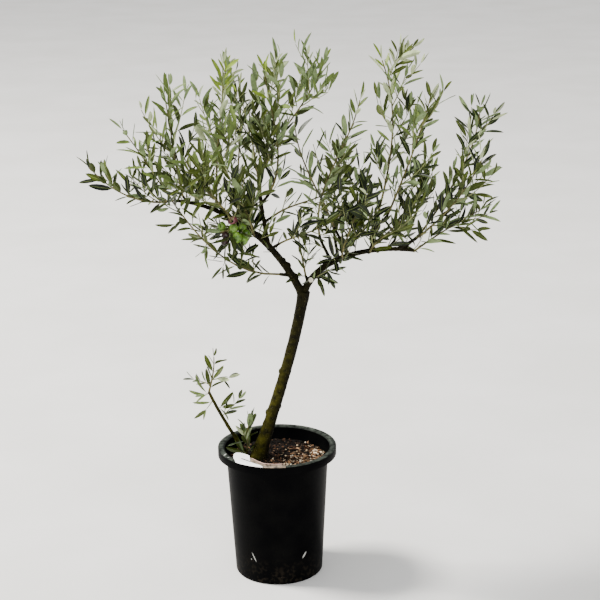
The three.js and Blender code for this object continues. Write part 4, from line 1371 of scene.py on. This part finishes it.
# %% Mix the greens
# From painted shade to painted sunlight: deep is the shaded green low in the crown, young the sunlit one at
# its top.
UPPER_GREENS = {
    "deep": (7, 16, 2), "dark": (22, 35, 3), "olive": (60, 71, 9), "sage": (91, 109, 50),
    "young": (123, 145, 44),
}
UNDER_GREENS = {"dull": (56, 66, 22), "grey": (119, 136, 92), "pale": (180, 191, 147)}
RIB_GREEN = (100, 112, 55)
CROWN_LOW, CROWN_HIGH, SUN_ON_SUCKERS = 620, 1080, 0.6
# How many tones the painted sunlight moves a spray along its row of greens, and how many it strays on its
# own.
UPPER_SHIFT, UNDER_SHIFT = (3.2, 1.3), (1.5, 0.9)


def leaf_finish(name, tone, *grain):
    return plain_finish(name, shaded(tone, 0.86), shaded(tone, 1.1), 75, (1600, *grain), specular=0.22)


LEAF_FINISHES = [
    *(leaf_finish("leaf_" + name, tone, 0.1, 0.32, 0.5) for name, tone in UPPER_GREENS.items()),
    *(leaf_finish("under_" + name, tone, 0.3, 0.7, 0.9) for name, tone in UNDER_GREENS.items()),
    leaf_finish("leaf_rib", RIB_GREEN, 0.1, 0.5, 0.7),
]


# Painted light: a twig's height in the crown stands for the sun on its leaves; the suckers get a fixed share.
def sun_at(part, height):
    return SUN_ON_SUCKERS if part == "foot" else (height - CROWN_LOW) / (CROWN_HIGH - CROWN_LOW)


def picked(tones, sunny, shift, draw):
    moved, strays = shift
    return round(min(len(tones) - 1, max(0, sunny * moved + draw(-strays, strays))))


def spray_tones(seed, sunny):
    """The finishes of blade, underside and rib for all the leaves of one twig."""
    draw = seeded(seed * 13 + 5)
    upper = picked(UPPER_GREENS, sunny, UPPER_SHIFT, draw)
    under = picked(UNDER_GREENS, sunny, UNDER_SHIFT, draw)
    return upper, len(UPPER_GREENS) + under, len(LEAF_FINISHES) - 1


print([finish.name for finish in LEAF_FINISHES])

# %% [markdown]
# The blade is drawn once, as plain numbers. Every leaf is that blade at its own size, bent, folded, twisted
# and swayed a little.

# %% Shape the leaves
# Rows across the blade: the share of the length where each lies, and its share of the half width.
BLADE = np.array([(0.09, 0.09), (0.25, 0.72), (0.45, 1), (0.68, 0.92), (0.88, 0.58)])
RIB, KEEL, SUNK = 0.45, 0.55, 0.15
ROW = 5
CURL = {"bend": (-0.1, 0.16), "fold": (0.1, 0.55), "twist": (-0.5, 0.5), "sway": (-0.06, 0.06)}
CURL_SEED = 20


def blade_faces():
    """The faces of one leaf and what each is: 0 blade, 1 underside, 2 rib. Point 0 is the foot."""
    tip = 1 + ROW * len(BLADE)
    faces = []
    for row in range(len(BLADE) - 1):
        a, b = 1 + row * ROW, 1 + (row + 1) * ROW
        faces += [(a, a + 1, b + 1, b), (a + 1, a + 2, b + 2, b + 1), (a + 2, a + 3, b + 3, b + 2)]
        faces += [(a, b, b + 4, a + 4), (a + 4, b + 4, b + 3, a + 3)]
    last = tip - ROW
    faces += [(0, 2, 1), (0, 3, 2), (0, 4, 3), (0, 1, 5), (0, 5, 4)]
    faces += [(last, last + 1, tip), (last + 1, last + 2, tip), (last + 2, last + 3, tip)]
    faces += [(last, tip, last + 4), (last + 4, tip, last + 3)]
    return faces, [0, 2, 0, 1, 1] * (len(faces) // ROW)


def blade_points(placed, draws):
    root, along, face = (np.array([leaf[k] for leaf in placed]) for k in range(3))
    length, width = (np.array([leaf[k] for leaf in placed]) for k in (3, 4))
    across = np.cross(along, face)
    bend, fold, twist, sway = (draws.uniform(*span, len(placed)) for span in CURL.values())

    def place(share, out, up):
        """Points at a share of the length, out from the rib and up from the blade, in millimetres."""
        turn = twist * share
        out, up = out * np.cos(turn) - up * np.sin(turn), out * np.sin(turn) + up * np.cos(turn)
        up = up - bend * length * share ** 2
        out = out + sway * length * np.sin(math.pi * share)
        return root + along * (length * share)[:, None] + across * out[:, None] + face * up[:, None]

    nothing = np.zeros(len(placed))
    columns = [place(nothing, nothing, nothing)]
    for share, part in BLADE:
        half = width / 2 * part
        at, raised, sunk = nothing + share, fold * half, nothing - SUNK * part
        rib = np.minimum(RIB, half * 0.5)
        keel = nothing - KEEL * min(1, part + 0.4)
        columns += [place(at, out, up) for out, up in (
            (-half, raised), (-rib, sunk), (rib, sunk), (half, raised), (nothing, keel))]
    columns.append(place(nothing + 1, nothing, nothing))
    return np.stack(columns, 1)


# %% Join the leaves
FACES, KINDS = blade_faces()
for seed, part in enumerate(PARTS, start=CURL_SEED):
    placed = leaves[part]
    points = blade_points(placed, np.random.default_rng(seed))
    finish_of = []
    for root, *_, twig_seed in placed:
        tones = spray_tones(twig_seed, sun_at(part, root[2]))
        finish_of += [tones[kind] for kind in KINDS]
    piece = mesh_piece(f"leaves_{part}", points.reshape(-1, 3), copied(FACES, points.shape[1], len(placed)))
    paint(piece, *LEAF_FINISHES, of_face=finish_of)
    smooth(piece, 50)
    dress(piece, "foliage", *nodes_of[part])

# %% [markdown]
# ## Olives
# A bunch of olives hangs in front of the left bough: most are full and green, one is turning purple, and two
# have shrivelled to brown. Each starts as a ball, is drawn out to an olive with a small point at its tip and
# a dimple at its stalk, and hangs from its stalk on a twig of the bunch.

# %% The bunch
OLIVE = {"radius": 8.6, "half_length": 10.2, "narrows": 0.1, "tapers": 0.06, "ends_from": 0.9,
         "end_step": 0.9, "turn": 0.9, "wrinkle": 0.12, "wrinkle_size": 0.55}
# Where each hangs in the bunch, how it leans, its size and its ripeness.
BUNCH = [
    ((-98, -40, 735), 10, 1.0, "green"), ((-75, -44, 732), -14, 1.04, "green"),
    ((-58, -38, 733), 18, 1.0, "green"), ((-68, -52, 717), -6, 1.06, "green"),
    ((-52, -42, 720), 24, 1.02, "green"), ((-56, -46, 709), 8, 1.0, "green"),
    ((-84, -36, 718), 30, 0.96, "green"), ((-76, -42, 747), 70, 0.95, "purple"),
    ((-91, -44, 718), -20, 0.85, "brown"), ((-93, -46, 707), 25, 0.8, "brown"),
    ((-44, -16, 742), 24, 0.98, "green"),
]
BUNCH_TOP = np.array([-72, -34, 754])
STALK = {"bows": np.array([0, -3, 4]), "radii": (0.7, 0.8)}
BUNCH_TWIG = {"sunk": 3, "steps": 4, "radii": (1.3, 0.9)}
RIPENESS = {
    "green": ((60, 92, 18), (120, 160, 56), (168, 192, 112)),
    "purple": ((66, 22, 34), (140, 78, 84), (170, 118, 112)),
    "brown": ((18, 9, 8), (52, 28, 24), (92, 66, 58)),
}
print(len(BUNCH), "olives")

# %% Shape the olives
def olive_finish(name, dark, light, fleck):
    finish, tree, shader, where = new_material(name + "_olive")
    spots = use(tree, MOTTLE, Vector=where, Scale=900, Low=0.66, High=0.74)["Mask"]
    skin = two_tones(tree, spots, mottled(tree, where, dark, light, 95), colour(*fleck))
    finish_with(tree, shader, where, skin, (1400, 0.1, 0.24, 0.42))
    return finish


def model_olive(place, lean, size, ripeness, seed):
    """One olive, and the place of its stalk."""
    bpy.ops.mesh.primitive_uv_sphere_add(segments=24, ring_count=16, radius=1)
    olive = bpy.context.object
    ball = points_of(olive) * MM
    height = ball[:, 2:]
    round_part = ball[:, :2] * (1 - OLIVE["narrows"] * height - OLIVE["tapers"] * height ** 2)
    near_end = np.clip((np.abs(height) - OLIVE["ends_from"]) / (1 - OLIVE["ends_from"]), 0, 1)
    upright = height * OLIVE["half_length"] - near_end * OLIVE["end_step"]
    form = np.hstack([round_part * OLIVE["radius"], upright]) * size
    if ripeness == "brown":
        places = [Vector(point) * OLIVE["wrinkle_size"] + Vector((seed, 0, 0)) for point in form]
        form *= 1 + OLIVE["wrinkle"] * np.array([[noise.noise(each)] for each in places])
    turn = Matrix.Rotation(math.radians(lean), 3, "Y") @ Matrix.Rotation(seed * OLIVE["turn"], 3, "Z")
    move_points(olive, form @ np.array(turn).T + place)
    top = np.array(place) + np.array(turn @ Vector((0, 0, OLIVE["half_length"] * size - 1)))
    return olive, top


pieces, stalks = {ripeness: [] for ripeness in RIPENESS}, []
for seed, (place, lean, size, ripeness) in enumerate(BUNCH, start=1):
    olive, top = model_olive(place, lean, size, ripeness, seed)
    pieces[ripeness].append(olive)
    stalks.append(tube(rounded([top, (top + BUNCH_TOP) / 2 + STALK["bows"], BUNCH_TOP]), STALK["radii"]))
for ripeness, tones in RIPENESS.items():
    olives = joined(pieces[ripeness], f"{ripeness}_olives")
    face_outwards(olives)
    paint(olives, olive_finish(ripeness, *tones))
    smooth(olives, 60)
    dress(olives, "foliage", "foliage_fruiting")

# %% Hang the bunch
foot, onward = stem_courses["fruiting"].point(0), stem_courses["fruiting"].along(0)
row = [foot - onward * BUNCH_TWIG["sunk"], (foot + BUNCH_TOP) / 2, BUNCH_TOP]
stalks.append(tube(rounded(row, BUNCH_TWIG["steps"]), BUNCH_TWIG["radii"]))
stalk_piece = mesh_piece("olive_stalks", *merged(stalks))
paint(stalk_piece, TWIG_FINISHES["green_shoot"])
smooth(stalk_piece, 50)
dress(stalk_piece, "bark", "foliage_fruiting")
